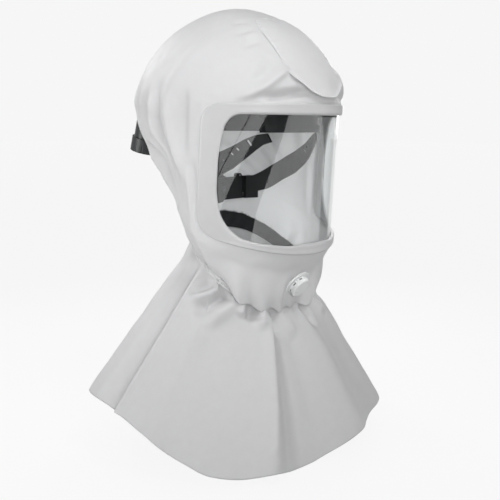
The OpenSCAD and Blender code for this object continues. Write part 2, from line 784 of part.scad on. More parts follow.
module air_diffuser() {
    front = duct_c + duct_out * cos(duct_hi);
    color([0.14, 0.14, 0.15]) difference() {
        translate([-duct_w / 2, front + 0.8, bar_top + 0.02])
            cube([duct_w, duct_deep - 1.6, duct_out * sin(duct_hi) - bar_top - 3.4]);
        for (k = [-4 : 4]) translate([k * 5.6 - 1.8, front - 1, bar_top + 1.6])
            cube([3.6, duct_deep - 4, 30]);
    }
}
// Block that carries the arch on the back of the head band
module duct_saddle() {
    color([0.16, 0.16, 0.17]) intersection() {
        translate([-12, 60, band_foot + 3]) cube([24, 60, 20]);
        difference() {
            translate([0, duct_c, 0]) rotate([0, 90, 0])
                cylinder(r = duct_r - gap, h = 60, center = true, $fn = 180);
            translate([0, 0, -50]) linear_extrude(height = 100) polygon(band_oval(band_t + 0.02));
        }
    }
}

// ---- Inlet ----
elbow_wall = 2.4;
spigot_in = 3;            // length of the spigot inside the duct
neck_from = 8;            // where the thin neck of the elbow starts along the socket's axis
neck_long = 8;
cuff_r = spigot_r + 2.4;
socket_end = neck_from + gap + neck_long + socket_deep;
module at_elbow() {
    translate([0, elbow_y, elbow_z]) children();
}
module down_socket() {
    at_elbow() rotate([180 + socket_tilt, 0, 0]) children();
}
dome_fillet = 7;
// Cup turned about the socket's axis, closed and rounded at its top
module cup(r, fillet, h) {
    translate([0, 0, -r]) rotate_extrude($fn = round_fn) {
        translate([0, fillet]) square([r, h - fillet]);
        square([r - fillet, h]);
        translate([r - fillet, fillet]) intersection() {
            circle(r = fillet, $fn = 48);
            translate([0, -fillet]) square(fillet);
        }
    }
}
module inlet_elbow() {
    bore = neck_pipe_r - elbow_wall;
    color([0.17, 0.17, 0.18]) difference() {
        union() {
            down_socket() cup(elbow_r, dome_fillet, elbow_r + neck_from);
            down_socket() cylinder(r = neck_pipe_r, h = neck_from + neck_long, $fn = round_fn);
            at_elbow() rotate([90, 0, 0])
                cylinder(r = spigot_r, h = elbow_y - duct_c - duct_out + spigot_in, $fn = round_fn);
        }
        down_socket() cup(bore, dome_fillet - elbow_wall, 80);
        at_elbow() rotate([90, 0, 0]) cylinder(r = spigot_r - 2, h = 80, $fn = round_fn);
        down_socket() translate([0, 0, oring_at - 1]) difference() {
            cylinder(r = neck_pipe_r + 1, h = 2, $fn = round_fn);
            translate([0, 0, -1]) cylinder(r = neck_pipe_r - oring_deep, h = 4, $fn = round_fn);
        }
    }
}
oring_at = neck_from + neck_long / 2;
oring_deep = 1.4;
oring_r = 0.65;
module inlet_oring() {
    color("black") down_socket() translate([0, 0, oring_at])
        rotate_extrude($fn = round_fn) translate([neck_pipe_r - oring_deep + oring_r + run, 0])
            circle(r = oring_r, $fn = 24);
}
collar_out = neck_pipe_r + 3.4;
module hose_collar() {
    color([0.12, 0.12, 0.13]) down_socket() difference() {
        translate([0, 0, neck_from + gap])
            cylinder(r = collar_out, h = socket_end - neck_from - gap, $fn = round_fn);
        translate([0, 0, neck_from - 1])
            cylinder(r = neck_pipe_r + run, h = neck_long + 1 + gap, $fn = round_fn);
        cylinder(r = socket_r, h = 80, $fn = round_fn);
        for (k = [0 : 11]) rotate(k * 30) translate([collar_out + 0.9, 0, socket_end - 9])
            cylinder(r = 1.6, h = 20, $fn = 24);
    }
}
module inlet_cuff() {
    color([0.2, 0.2, 0.2]) translate([0, elbow_y - elbow_r - 1, elbow_z]) rotate([90, 0, 0])
        difference() {
            cylinder(r = cuff_r, h = elbow_y - elbow_r - duct_c - duct_out - 1.5, $fn = round_fn);
            translate([0, 0, -1]) cylinder(r = spigot_r + gap, h = 60, $fn = round_fn);
        }
}

// ---- Exhalation valve ----
valve_tube_r = valve_throat_r + 2;
chin_fall = [neck_front_y, neck_front_z];
chin_rise = [face_y - face_lean, mix(frame_top, neck_front_z, frame_foot_t)];
valve_z = mix(chin_fall[1], chin_rise[1], (valve_y - chin_fall[0]) / (chin_rise[0] - chin_fall[0]));
valve_tilt = atan((chin_rise[0] - chin_fall[0]) / (chin_rise[1] - chin_fall[1]));
// Moves to the valve's centre on the chin, with +Z along the breath out
module at_valve() {
    translate([0, -valve_y, valve_z]) rotate([90 + valve_tilt, 0, 0]) children();
}
module valve_body() {
    color("white") at_valve() {
        difference() {
            union() {
                translate([0, 0, gap]) cylinder(r = valve_flange_r, h = 2.4, $fn = 96);
                translate([0, 0, -8]) cylinder(r = valve_tube_r, h = 9, $fn = round_fn);
            }
            translate([0, 0, -9]) cylinder(r = valve_throat_r, h = 20, $fn = round_fn);
        }
        // Seat ring and spider that hold the disc's stem
        translate([0, 0, seat_at]) difference() {
            union() {
                difference() {
                    cylinder(r = valve_throat_r + 0.5, h = seat_t, $fn = round_fn);
                    translate([0, 0, -1]) cylinder(r = valve_throat_r - 2, h = 4, $fn = round_fn);
                }
                for (k = [0 : 2]) rotate(k * 60) translate([-valve_throat_r, -spoke_w / 2, 0])
                    cube([2 * valve_throat_r, spoke_w, seat_t]);
                cylinder(r = 3, h = seat_t, $fn = 32);
            }
            translate([0, 0, -1]) cylinder(r = stem_r + run, h = 4, $fn = 32);
        }
    }
}
stem_r = 1.2;
seat_at = -3;      // underside of the spider along the valve's axis
seat_t = 1.5;
spoke_w = 1.4;
disc_t = 0.8;
stop_t = 1;        // thickness of the stem's end stop
stem_foot = seat_at - gap - valve_lift - stop_t;
module valve_disc() {
    color([0.75, 0.78, 0.8]) at_valve() {
        translate([0, 0, seat_at + seat_t + run])
            cylinder(r = valve_throat_r - 0.8, h = disc_t, $fn = round_fn);
        translate([0, 0, stem_foot]) cylinder(r = stem_r, h = seat_at + seat_t + 0.5 - stem_foot, $fn = 32);
        translate([0, 0, stem_foot]) cylinder(r = stem_r + 0.9, h = stop_t, $fn = 32);
    }
}
module valve_nut() {
    color("gainsboro") at_valve() translate([0, 0, -7.6]) difference() {
        cylinder(r = valve_tube_r + 3, h = 3, $fn = round_fn);
        translate([0, 0, -1]) cylinder(r = valve_tube_r + run, h = 5, $fn = round_fn);
        for (k = [0 : 5]) rotate(k * 60) translate([valve_tube_r + 3.4, 0, -1])
            cylinder(r = 1.2, h = 5, $fn = 24);
    }
}
cap_r = 13;
module valve_cap() {
    color("white") at_valve() translate([0, 0, gap + 2.4]) difference() {
        union() {
            cylinder(r = cap_r, h = valve_cap_h - 1.5, $fn = 96);
            translate([0, 0, valve_cap_h - 1.5]) cylinder(r1 = cap_r, r2 = cap_r - 1.5, h = 1.5, $fn = 96);
        }
        translate([0, 0, -1]) cylinder(r = cap_r - 1.6, h = valve_cap_h - 0.4, $fn = 96);
        // Breath leaves through slots round the cap's foot and one small hole in its face
        for (k = [0 : 7]) rotate(k * 45 + 22.5) translate([cap_r - 4, -2.2, 0.8]) cube([8, 4.4, 1.6]);
        translate([-5, -5, 0]) cylinder(r = 1, h = 20, $fn = 32);
    }
}

hood_right();
hood_left();
brow_flap();
chin_panel();
visor_frame();
visor_lens();
neck_casing();
neck_elastic();
neck_seal();
cape_front();
cape_back();
brow_bar();
sweatband();
head_band();
arm_right();
arm_left();
crown_strap_right();
crown_strap_left();
strap_pegs();
visor_brackets();
ratchet_housing();
ratchet_cover();
rack_right();
rack_left();
ratchet_pinion();
ratchet_knob();
knob_screw();
cover_screws();
duct_tray();
duct_cover();
air_diffuser();
duct_saddle();
inlet_elbow();
inlet_cuff();
hose_collar();
inlet_oring();
valve_body();
valve_nut();
valve_disc();
valve_cap();
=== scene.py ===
"""Headtop of a powered air respirator: the looks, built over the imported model."""
import json
import math

import bmesh
import bpy
import numpy as np
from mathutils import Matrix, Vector, noise


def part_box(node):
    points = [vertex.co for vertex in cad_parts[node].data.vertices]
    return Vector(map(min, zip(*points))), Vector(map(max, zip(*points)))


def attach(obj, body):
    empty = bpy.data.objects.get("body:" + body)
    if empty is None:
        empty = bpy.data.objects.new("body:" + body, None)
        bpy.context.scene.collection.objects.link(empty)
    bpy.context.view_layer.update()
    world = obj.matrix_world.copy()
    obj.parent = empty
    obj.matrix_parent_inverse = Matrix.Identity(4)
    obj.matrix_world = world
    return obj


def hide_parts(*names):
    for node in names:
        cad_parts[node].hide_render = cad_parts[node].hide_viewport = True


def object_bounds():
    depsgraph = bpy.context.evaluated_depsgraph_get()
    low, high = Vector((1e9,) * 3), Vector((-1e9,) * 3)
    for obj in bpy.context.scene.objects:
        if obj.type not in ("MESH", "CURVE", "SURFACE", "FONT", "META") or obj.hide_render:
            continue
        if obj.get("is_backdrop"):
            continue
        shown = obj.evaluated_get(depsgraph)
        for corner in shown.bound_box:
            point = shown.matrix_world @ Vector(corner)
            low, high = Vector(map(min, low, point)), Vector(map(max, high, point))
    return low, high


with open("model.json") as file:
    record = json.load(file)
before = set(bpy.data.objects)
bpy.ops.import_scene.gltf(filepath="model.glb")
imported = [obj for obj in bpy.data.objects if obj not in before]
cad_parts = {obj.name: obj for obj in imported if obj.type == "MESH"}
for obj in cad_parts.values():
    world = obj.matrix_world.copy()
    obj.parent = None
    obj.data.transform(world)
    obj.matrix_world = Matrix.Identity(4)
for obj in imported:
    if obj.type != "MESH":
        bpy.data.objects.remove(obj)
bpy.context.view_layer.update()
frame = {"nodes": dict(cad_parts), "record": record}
ROOT = "headtop"
MM = 0.001

# ---- Sizes of the hood, in millimetres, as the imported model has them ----
CROWN_TOP = 130.0
BAND_TOP = 20.0
FACE_FRONT = 120.0
HOOD_BACK = 138.0
FACE_RADIUS = 112.0
FACE_LEAN = 10.0
WINDOW_TOP = 9.0
WINDOW_FOOT = -135.0
BAND_WIDTH = 11.0
NECK_FRONT_Z = -204.0
NECK_BACK_Z = -121.0
NECK_HALF = 83.0
NECK_FRONT = 70.0
NECK_BACK = 48.0
HEM_HALF = 200.0
HEM_LONG = 155.0
HEM_Z = -340.0
HEM_SLOPE = 18.0
CASING_TALL = 9.0
CROWN_CENTRE = 9.0  # how far behind the head's middle the crown stands highest
CROWN_POWER = 2 / 1.78  # 1 would make the crown an ellipse; more makes it more pointed
CROWN_RIDGE = 0.045  # the crown's top is a ridge of this share of the hood's length
CLOTH = 0.6  # thickness of the hood's and the cape's cloth
CROWN_ARC = 175.0  # from the top of the head down to the visor's top edge
FACE_TURN = math.radians(75)
FACE_DROP = BAND_TOP - NECK_FRONT_Z
BAND_FOOT_T = (BAND_TOP - WINDOW_FOOT + BAND_WIDTH) / FACE_DROP
WINDOW_TOP_T = (BAND_TOP - WINDOW_TOP) / FACE_DROP
WINDOW_FOOT_T = (BAND_TOP - WINDOW_FOOT) / FACE_DROP
EDGE_X = FACE_RADIUS * math.sin(FACE_TURN)
EDGE_BACK = FACE_RADIUS * (1 - math.cos(FACE_TURN))


def mix(a, b, t):
    """a where t is 0 and b where t is 1."""
    return a + (b - a) * t


def smooth(x, low, high):
    """0 below low and 1 above high, with a soft rise between them."""
    s = np.clip((np.asarray(x, float) - low) / (high - low), 0, 1)
    return s * s * (3 - 2 * s)


def curve_through(places, values):
    """Smooth curve through the values, with no overshoot between them."""
    xs, ys = np.array(places, float), np.array(values, float)
    step = np.diff(xs)
    slope = np.diff(ys) / step
    lean = np.concatenate([[slope[0]], np.zeros(len(xs) - 2), [slope[-1]]])
    for i in range(1, len(xs) - 1):
        if slope[i - 1] * slope[i] > 0:
            a, b = 2 * step[i] + step[i - 1], step[i] + 2 * step[i - 1]
            lean[i] = (a + b) / (a / slope[i - 1] + b / slope[i])

    def at(x):
        x = np.clip(x, xs[0], xs[-1])
        i = np.clip(np.searchsorted(xs, x, side="right") - 1, 0, len(step) - 1)
        s = (x - xs[i]) / step[i]
        rise = ys[i] * (2 * s**3 - 3 * s**2 + 1) + ys[i + 1] * (3 * s**2 - 2 * s**3)
        bend = lean[i] * (s**3 - 2 * s**2 + s) + lean[i + 1] * (s**3 - s**2)
        return rise + step[i] * bend

    return at


# ---- Surface of the hood: angle from the front, level from the visor's top to the neck ----
side_half = curve_through(
    [0, BAND_FOOT_T, 0.9, 1], [EDGE_X, EDGE_X, mix(NECK_HALF, EDGE_X, 0.6), NECK_HALF]
)
back_reach = curve_through(
    [0, 0.12, 0.25, 0.4, 0.53, 0.67, 0.81, 0.9, 1],
    [HOOD_BACK, HOOD_BACK - 1, HOOD_BACK - 10, HOOD_BACK - 35, HOOD_BACK - 56,
     HOOD_BACK - 78, NECK_BACK + 1, NECK_BACK, NECK_BACK],
)


def unit(ways):
    """The same directions with a length of 1."""
    return ways / np.maximum(np.linalg.norm(ways, axis=-1, keepdims=True), 1e-9)


def two_curves(spots):
    """Smooth curves through the first and through the second value of each spot, by its number."""
    return [curve_through(range(len(spots)), [spot[k] for spot in spots]) for k in (0, 1)]


def front_reach(t):
    """Place of the hood's front at a level: it draws back down the face and further down the chin."""
    face = -FACE_FRONT + FACE_LEAN * t / BAND_FOOT_T
    chin = mix(-FACE_FRONT + FACE_LEAN, -NECK_FRONT, (t - BAND_FOOT_T) / (1 - BAND_FOOT_T))
    return np.where(t < BAND_FOOT_T, face, chin)


def side_start(t):
    """Place where the face's curve ends and the hood's side begins, at a level."""
    chin_from = -FACE_FRONT + FACE_LEAN + EDGE_BACK
    chin = mix(chin_from, -NECK_FRONT / 2, (t - BAND_FOOT_T) / (1 - BAND_FOOT_T))
    return np.where(t < BAND_FOOT_T, front_reach(t) + EDGE_BACK, chin)


def neck_height(turn):
    """Height of the neck's edge, low under the chin and high at the nape."""
    return mix(NECK_BACK_Z, NECK_FRONT_Z, ((1 + np.cos(turn)) / 2) ** 1.3)


def outline(turn, t, off):
    """Place on the hood's plan at a level, off millimetres outside it."""
    half, start = side_half(t) + off, side_start(t)
    front, back = front_reach(t) - off, back_reach(t) + off
    full = 8 * np.clip(1 - t / 0.5, 0, 1)  # the rear quarters are fuller than an ellipse's
    a, side = np.abs(turn), np.sign(turn)
    round_back = (a - FACE_TURN) / (math.pi - FACE_TURN) * math.pi / 2
    flat = math.cos(FACE_TURN)
    x_face = half * np.sin(a) / math.sin(FACE_TURN)
    x_side = half * np.cos(round_back) + full * np.sin(2 * round_back)
    y_face = mix(start, front, (np.cos(a) - flat) / (1 - flat))
    y_side = mix(start, back, np.sin(round_back))
    on_face = a <= FACE_TURN
    return side * np.where(on_face, x_face, x_side), np.where(on_face, y_face, y_side)


def below(turn, t, off=0.0):
    """Point of the hood under the visor's top edge."""
    turn, t = np.broadcast_arrays(np.asarray(turn, float), np.asarray(t, float))
    x, y = outline(turn, t, off)
    return np.stack([x, y, mix(BAND_TOP, neck_height(turn), t)], -1)


def crown(turn, m, off=0.0):
    """Point of the crown: m is 0 on top and 1 at the visor's top edge."""
    turn, m = np.broadcast_arrays(np.asarray(turn, float), np.asarray(m, float))
    out = np.sin(math.pi / 2 * m) ** CROWN_POWER
    x, y = outline(turn, np.zeros_like(turn), off)
    y = CROWN_CENTRE + (out + CROWN_RIDGE * (1 - m)) * (y - CROWN_CENTRE)
    rise = np.abs(np.cos(math.pi / 2 * m)) ** CROWN_POWER
    return np.stack([out * x, y, BAND_TOP + (CROWN_TOP - BAND_TOP + off) * rise], -1)


def hood(turn, v, off=0.0):
    """Point of the whole hood: v runs from -1 on top over 0 at the visor's top to 1 at the neck."""
    turn, v = np.broadcast_arrays(np.asarray(turn, float), np.asarray(v, float))
    low = below(turn, np.clip(v, 0, 1), off)
    top = crown(turn, np.clip(1 + v, 0, 1), off)
    return np.where((v > 0)[..., None], low, top)


def cape_at(turn, c, off=1.0):
    """Point of the cape: c is 0 at the neck and 1 at the hem."""
    turn, c = np.broadcast_arrays(np.asarray(turn, float), np.asarray(c, float))
    nx, ny = outline(turn, np.ones_like(turn), off)
    hx = (HEM_HALF + off) * np.sin(turn)
    hy = CROWN_CENTRE - (HEM_LONG + off) * np.cos(turn)
    top = neck_height(turn) - CASING_TALL - CLOTH
    hem = HEM_Z - HEM_SLOPE * np.cos(turn)
    return np.stack([mix(nx, hx, c), mix(ny, hy, c), mix(top, hem, c)], -1)


# ---- Mesh tools ----
def grid_normals(points, closed):
    """Outward direction at each point of a grid of rows and columns."""
    if closed:
        along = np.roll(points, -1, 1) - np.roll(points, 1, 1)
    else:
        along = np.gradient(points, axis=1)
    return unit(np.cross(np.gradient(points, axis=0), along))


def grid_quads(rows, cols, closed, keep=None):
    """Faces of a grid; closed joins its last column to its first, and keep leaves faces out."""
    ends = cols if closed else cols - 1
    quads = []
    for i in range(rows - 1):
        for j in range(ends):
            if keep is None or keep[i, j]:
                k = (j + 1) % cols
                quads.append((i * cols + j, (i + 1) * cols + j, (i + 1) * cols + k, i * cols + k))
    return quads


def new_object(name, data):
    """New object that stands in the scene."""
    made = bpy.data.objects.new(name, data)
    bpy.context.scene.collection.objects.link(made)
    return made


def make_piece(name, points, faces, finish, thick=0.0, subdivide=0):
    """Smooth mesh piece from millimetre points, with an optional cloth thickness inwards."""
    mesh = bpy.data.meshes.new(name)
    mesh.from_pydata((np.asarray(points).reshape(-1, 3) * MM).tolist(), [], faces)
    work = bmesh.new()
    work.from_mesh(mesh)
    bmesh.ops.remove_doubles(work, verts=work.verts, dist=0.00002)
    loose = [v for v in work.verts if not v.link_faces]
    bmesh.ops.delete(work, geom=loose, context="VERTS")
    work.to_mesh(mesh)
    work.free()
    mesh.shade_smooth()
    piece = new_object(name, mesh)
    mesh.materials.append(finish)
    if thick:
        shell = piece.modifiers.new("thickness", "SOLIDIFY")
        shell.thickness = thick * MM
        shell.offset = -1
        shell.use_even_offset = False
    if subdivide:
        soft = piece.modifiers.new("smoothing", "SUBSURF")
        soft.levels = subdivide
        soft.render_levels = subdivide
    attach(piece, ROOT)
    return piece


def waver(points, size, seed):
    """Smooth random field from -1 to 1 over points, with features of the given size."""
    flat = points.reshape(-1, 3) / size + seed * 17.3
    return np.array([noise.noise(Vector(p)) for p in flat]).reshape(points.shape[:-1])


def fold(points, path, height, width, ends=0.25, lean=0.0):
    """Height of one soft fold that follows a path of points, fading at both of its ends.

    lean makes one flank of the fold steeper than the other."""
    path = np.asarray(path)
    best = np.full(points.shape[:-1], 1e9)
    along = np.zeros(points.shape[:-1])
    tilt = np.zeros(points.shape[:-1])
    n = len(path) - 1
    for i in range(n):
        a, b = path[i], path[i + 1]
        ab = b - a
        s = np.clip(((points - a) @ ab) / (ab @ ab), 0, 1)
        away = points - (a + s[..., None] * ab)
        d = np.linalg.norm(away, axis=-1)
        nearer = d < best
        best = np.where(nearer, d, best)
        along = np.where(nearer, (i + s) / n, along)
        across = unit(np.cross(ab, a * np.array([1.0, 1.0, 0.3])))
        tilt = np.where(nearer, away @ across, tilt)
    fade = smooth(along, 0, ends) * smooth(1 - along, 0, ends)
    wide = width * (1 + lean * np.tanh(tilt / width))
    return height * fade * np.exp(-((best / wide) ** 2))


def traced(spots, steps=7):
    """Path over the hood through (degrees from the front, level) spots."""
    turns, levels = two_curves(spots)
    k = np.linspace(0, len(spots) - 1, steps)
    return hood(np.radians(turns(k)), levels(k))


# ---- Materials ----
def linear(hex_colour):
    """Linear colour of an sRGB hex value."""
    parts = [int(hex_colour[i : i + 2], 16) / 255 for i in (1, 3, 5)]
    return [c / 12.92 if c <= 0.04045 else ((c + 0.055) / 1.055) ** 2.4 for c in parts] + [1.0]


def add(tree, kind, sockets=None, **settings):
    """Adds one node with its settings; sockets take a value, an output, or a node for its first output."""
    made = tree.nodes.new(kind)
    for name, value in settings.items():
        setattr(made, name, value)
    for name, value in (sockets or {}).items():
        if isinstance(value, bpy.types.Node):
            value = value.outputs[0]
        if isinstance(value, bpy.types.NodeSocket):
            tree.links.new(value, made.inputs[name])
        else:
            made.inputs[name].default_value = value
    return made


def node_of(tree, kind):
    """First node of a kind in a tree."""
    return next(n for n in tree.nodes if n.type == kind)


def material(name, colour, roughness, **shader):
    """New material with a principled shader; returns it, its tree, its shader and its place in mm."""
    made = bpy.data.materials.new(name)
    made.use_nodes = True
    tree = made.node_tree
    bsdf = node_of(tree, "BSDF_PRINCIPLED")
    bsdf.inputs["Base Color"].default_value = linear(colour)
    bsdf.inputs["Roughness"].default_value = roughness
    for key, value in shader.items():
        bsdf.inputs[key.replace("_", " ")].default_value = value
    coords = add(tree, "ShaderNodeTexCoord")
    scaled = add(tree, "ShaderNodeVectorMath", {0: coords.outputs["Object"], 1: (1 / MM,) * 3},
                 operation="MULTIPLY")
    return made, tree, bsdf, scaled.outputs[0]


def tint(tree, bsdf, amount, light, dark):
    """Colours the shader between two hex values by a 0 to 1 amount."""
    blend = add(tree, "ShaderNodeMix", {0: amount, 6: linear(light), 7: linear(dark)}, data_type="RGBA")
    tree.links.new(blend.outputs[2], bsdf.inputs["Base Color"])


def gloss(tree, bsdf, amount, low, high):
    """Varies the roughness between two values by a 0 to 1 amount."""
    span = add(tree, "ShaderNodeMapRange", {"Value": amount, "To Min": low, "To Max": high})
    tree.links.new(span.outputs[0], bsdf.inputs["Roughness"])


def relief(tree, bsdf, layers):
    """Chains bumps of (height output, depth in mm, strength)."""
    last = None
    for height, depth, strength in layers:
        sockets = {"Height": height, "Distance": depth * MM, "Strength": strength}
        if last is not None:
            sockets["Normal"] = last
        last = add(tree, "ShaderNodeBump", sockets).outputs[0]
    tree.links.new(last, bsdf.inputs["Normal"])


def laminate_cloth(name, light, dark, see_through):
    """White polypropylene spunbond laminated with a breathable film: a soft satin over a faint
    mottle of matted fibres, with the point bonds of the calender roll as a fine grain. The bonds
    are 0.9 mm apart on the real cloth and drawn at 1.4 mm so that they show. It is thin enough
    that a share of the light comes through it."""
    made, tree, bsdf, place = material(
        name, light, 0.5, Sheen_Weight=0.08, Sheen_Roughness=0.4,
        Specular_IOR_Level=0.4)
    drawn = add(tree, "ShaderNodeVectorMath", {0: place, 1: (1.0, 1.0, 0.45)}, operation="MULTIPLY")
    hung = add(tree, "ShaderNodeVectorMath", {0: place, 1: (1.0, 1.0, 0.5)}, operation="MULTIPLY")
    mottle = add(tree, "ShaderNodeTexNoise",
                 {"Vector": place, "Scale": 1 / 9.0, "Detail": 4.0, "Roughness": 0.55})
    fibre = add(tree, "ShaderNodeTexNoise",
                {"Vector": drawn, "Scale": 1 / 0.7, "Detail": 4.0, "Roughness": 0.7})
    bonds = add(tree, "ShaderNodeTexVoronoi", {"Vector": place, "Scale": 1 / 1.4})
    crumple = add(tree, "ShaderNodeTexNoise",
                  {"Vector": hung, "Scale": 1 / 34.0, "Detail": 2.0, "Roughness": 0.4})
    tint(tree, bsdf, mottle, light, dark)
    gloss(tree, bsdf, mottle, 0.43, 0.58)
    relief(tree, bsdf, [(crumple, 1.2, 0.12), (fibre, 0.08, 0.3), (bonds, 0.06, 0.2)])
    through = add(tree, "ShaderNodeBsdfTranslucent", {"Color": linear("#F2F2F2")})
    thin = add(tree, "ShaderNodeMixShader", {0: see_through, 1: bsdf, 2: through})
    tree.links.new(thin.outputs[0], node_of(tree, "OUTPUT_MATERIAL").inputs["Surface"])
    return made


def binding_tape():
    """White coextruded tape welded round the window: smoother than the cloth, with a slight satin
    that lets the light roll along it and the weld's fine cross ribs. Its greys are painted shade; the tape
    itself is as white as the cloth."""
    # painted shade: the grey base colour stands for shade on a tape as white as the cloth
    made, tree, bsdf, place = material(
        "welded_binding_tape_painted_shade", "#C2C2C3", 0.38, Specular_IOR_Level=0.45)
    wear = add(tree, "ShaderNodeTexNoise", {"Vector": place, "Scale": 1 / 14.0, "Detail": 3.0})
    grain = add(tree, "ShaderNodeTexNoise", {"Vector": place, "Scale": 1 / 0.5, "Detail": 2.0})
    ripple = add(tree, "ShaderNodeTexNoise", {"Vector": place, "Scale": 1 / 18.0, "Detail": 2.0})
    # painted shade: both greys are the white tape darkened as shade; the noise between them is random wear
    tint(tree, bsdf, wear, "#C5C5C6", "#BEBEBF")
    gloss(tree, bsdf, wear, 0.34, 0.46)
    relief(tree, bsdf, [(ripple, 0.8, 0.25), (grain, 0.05, 0.25)])
    return made


def visor_film():
    """Clear PETG sheet, polished by the roll: nearly invisible head on, with a gloss that rises
    towards grazing angles and lays a light veil where it mirrors the studio."""
    made = bpy.data.materials.new("clear_petg_sheet")
    made.use_nodes = True
    tree = made.node_tree
    tree.nodes.remove(node_of(tree, "BSDF_PRINCIPLED"))
    clear = add(tree, "ShaderNodeBsdfTransparent", {"Color": linear("#FAFBFB")})
    mirror = add(tree, "ShaderNodeBsdfGlossy", {"Color": linear("#FFFFFF"), "Roughness": 0.03})
    graze = add(tree, "ShaderNodeLayerWeight", {"Blend": 0.5})
    steep = add(tree, "ShaderNodeMath", {0: graze.outputs["Facing"], 1: 5.0}, operation="POWER")
    share = add(tree, "ShaderNodeMapRange", {"Value": steep, "To Min": 0.045, "To Max": 0.85})
    sheet = add(tree, "ShaderNodeMixShader", {0: share, 1: clear, 2: mirror})
    tree.links.new(sheet.outputs[0], node_of(tree, "OUTPUT_MATERIAL").inputs["Surface"])
    return made


def moulded(name, colour, dark, roughness, grain=0.6, depth=0.05, flow=30.0, **shader):
    """Injection-moulded plastic: slight flow shading, rubbed spots that shine more, and the mould's
    spark-eroded grain, about 0.2 mm on the real one and drawn coarser so that it shows."""
    made, tree, bsdf, place = material(name, colour, roughness, **shader)
    flow_marks = add(tree, "ShaderNodeTexNoise", {"Vector": place, "Scale": 1 / flow, "Detail": 3.0})
    sparks = add(tree, "ShaderNodeTexNoise",
                 {"Vector": place, "Scale": 1 / grain, "Detail": 4.0, "Roughness": 0.65})
    rubbed = add(tree, "ShaderNodeTexNoise",
                 {"Vector": place, "Scale": 1 / 5.0, "Detail": 4.0, "Roughness": 0.7})
    tint(tree, bsdf, flow_marks, colour, dark)
    gloss(tree, bsdf, rubbed, roughness - 0.09, roughness + 0.12)
    relief(tree, bsdf, [(flow_marks, 0.25, 0.2), (sparks, depth, 0.5)])
    return made


KNIT_WALES = 240.0  # upright rows of loops round the neck
KNIT_LOOPS = 3.6  # turns millimetres of height into the angle of a wave 1.75 mm long


def black_knit():
    """Black elastane rib knit: matt loops in upright wales 1.1 mm apart, drawn at 1.8 mm so that
    they show, with a soft fibre halo that lightens it at grazing angles."""
    made, tree, bsdf, place = material(
        "black_rib_knit", "#17181A", 0.85, Sheen_Weight=0.5, Sheen_Roughness=0.35)
    bsdf.inputs["Sheen Tint"].default_value = linear("#8A8C90")
    polar = add(tree, "ShaderNodeSeparateXYZ", {0: place})
    turn = add(tree, "ShaderNodeMath", {0: polar, 1: polar.outputs[1]}, operation="ARCTAN2")
    wales = add(tree, "ShaderNodeMath", {0: turn, 1: KNIT_WALES}, operation="MULTIPLY")
    rib = add(tree, "ShaderNodeMath", {0: wales}, operation="SINE")
    loops = add(tree, "ShaderNodeMath", {0: polar.outputs[2], 1: KNIT_LOOPS}, operation="MULTIPLY")
    loop = add(tree, "ShaderNodeMath", {0: loops}, operation="SINE")
    fuzz = add(tree, "ShaderNodeTexNoise",
               {"Vector": place, "Scale": 1 / 0.8, "Detail": 4.0, "Roughness": 0.7})
    fading = add(tree, "ShaderNodeTexNoise", {"Vector": place, "Scale": 1 / 6.0, "Detail": 3.0})
    tint(tree, bsdf, fading, "#141517", "#232427")
    relief(tree, bsdf, [(rib, 0.35, 0.5), (loop, 0.15, 0.4), (fuzz, 0.2, 0.5)])
    return made


def braided_elastic():
    """White braided elastic: fine chevrons of polyester over rubber cores, dull and soft."""
    made, tree, bsdf, place = material("braided_elastic", "#E8E8E6", 0.75, Sheen_Weight=0.2)
    braid = add(tree, "ShaderNodeTexWave", {"Vector": place, "Scale": 0.45, "Distortion": 2.0},
                bands_direction="DIAGONAL")
    tint(tree, bsdf, braid.outputs[1], "#EDEDEB", "#D9D9D6")
    relief(tree, bsdf, [(braid.outputs[1], 0.2, 0.6)])
    return made


def spun_thread():
    """White core-spun polyester thread: two plies twisted to 0.4 mm, a little glossier than cloth."""
    made, tree, bsdf, place = material("spun_polyester_thread", "#EEEFF0", 0.5, Sheen_Weight=0.3)
    twist = add(tree, "ShaderNodeTexWave", {"Vector": place, "Scale": 1.2}, bands_direction="DIAGONAL")
    tint(tree, bsdf, twist.outputs[1], "#F3F4F5", "#DDDFE1")
    relief(tree, bsdf, [(twist.outputs[1], 0.08, 0.6)])
    return made


def cut_foam():
    """Dark grey polyether foam, split from a block: open cells that swallow light, drawn as painted shade
    that darkens each cell's hollow. They are 0.5 mm across on the real foam and drawn at 0.9 mm so that they
    show."""
    made, tree, bsdf, place = material("split_polyether_foam", "#3A3B3D", 0.95, Sheen_Weight=0.25)
    cells = add(tree, "ShaderNodeTexVoronoi", {"Vector": place, "Scale": 1 / 0.9})
    lumps = add(tree, "ShaderNodeTexNoise", {"Vector": place, "Scale": 1 / 3.0, "Detail": 3.0})
    # painted shade: each cell is darker towards its sunken middle and lighter at its walls
    tint(tree, bsdf, cells, "#2A2B2D", "#4A4B4E")
    relief(tree, bsdf, [(cells, 0.4, 0.8), (lumps, 0.3, 0.4)])
    return made


def zinc_steel():
    """Zinc-plated steel screws, turned and tumbled: grey mirror broken by fine turning rings."""
    made, tree, bsdf, place = material("zinc_plated_steel", "#C9CBCD", 0.28, Metallic=1.0)
    rings = add(tree, "ShaderNodeTexWave", {"Vector": place, "Scale": 1.6, "Distortion": 1.0},
                wave_type="RINGS")
    plating = add(tree, "ShaderNodeTexNoise", {"Vector": place, "Scale": 1 / 1.5, "Detail": 3.0})
    tumbled = add(tree, "ShaderNodeTexNoise", {"Vector": place, "Scale": 1 / 2.0, "Detail": 3.0})
    tint(tree, bsdf, plating, "#D2D4D6", "#A9ACB0")
    gloss(tree, bsdf, tumbled, 0.2, 0.38)
    relief(tree, bsdf, [(rings.outputs[1], 0.02, 0.4)])
    return made


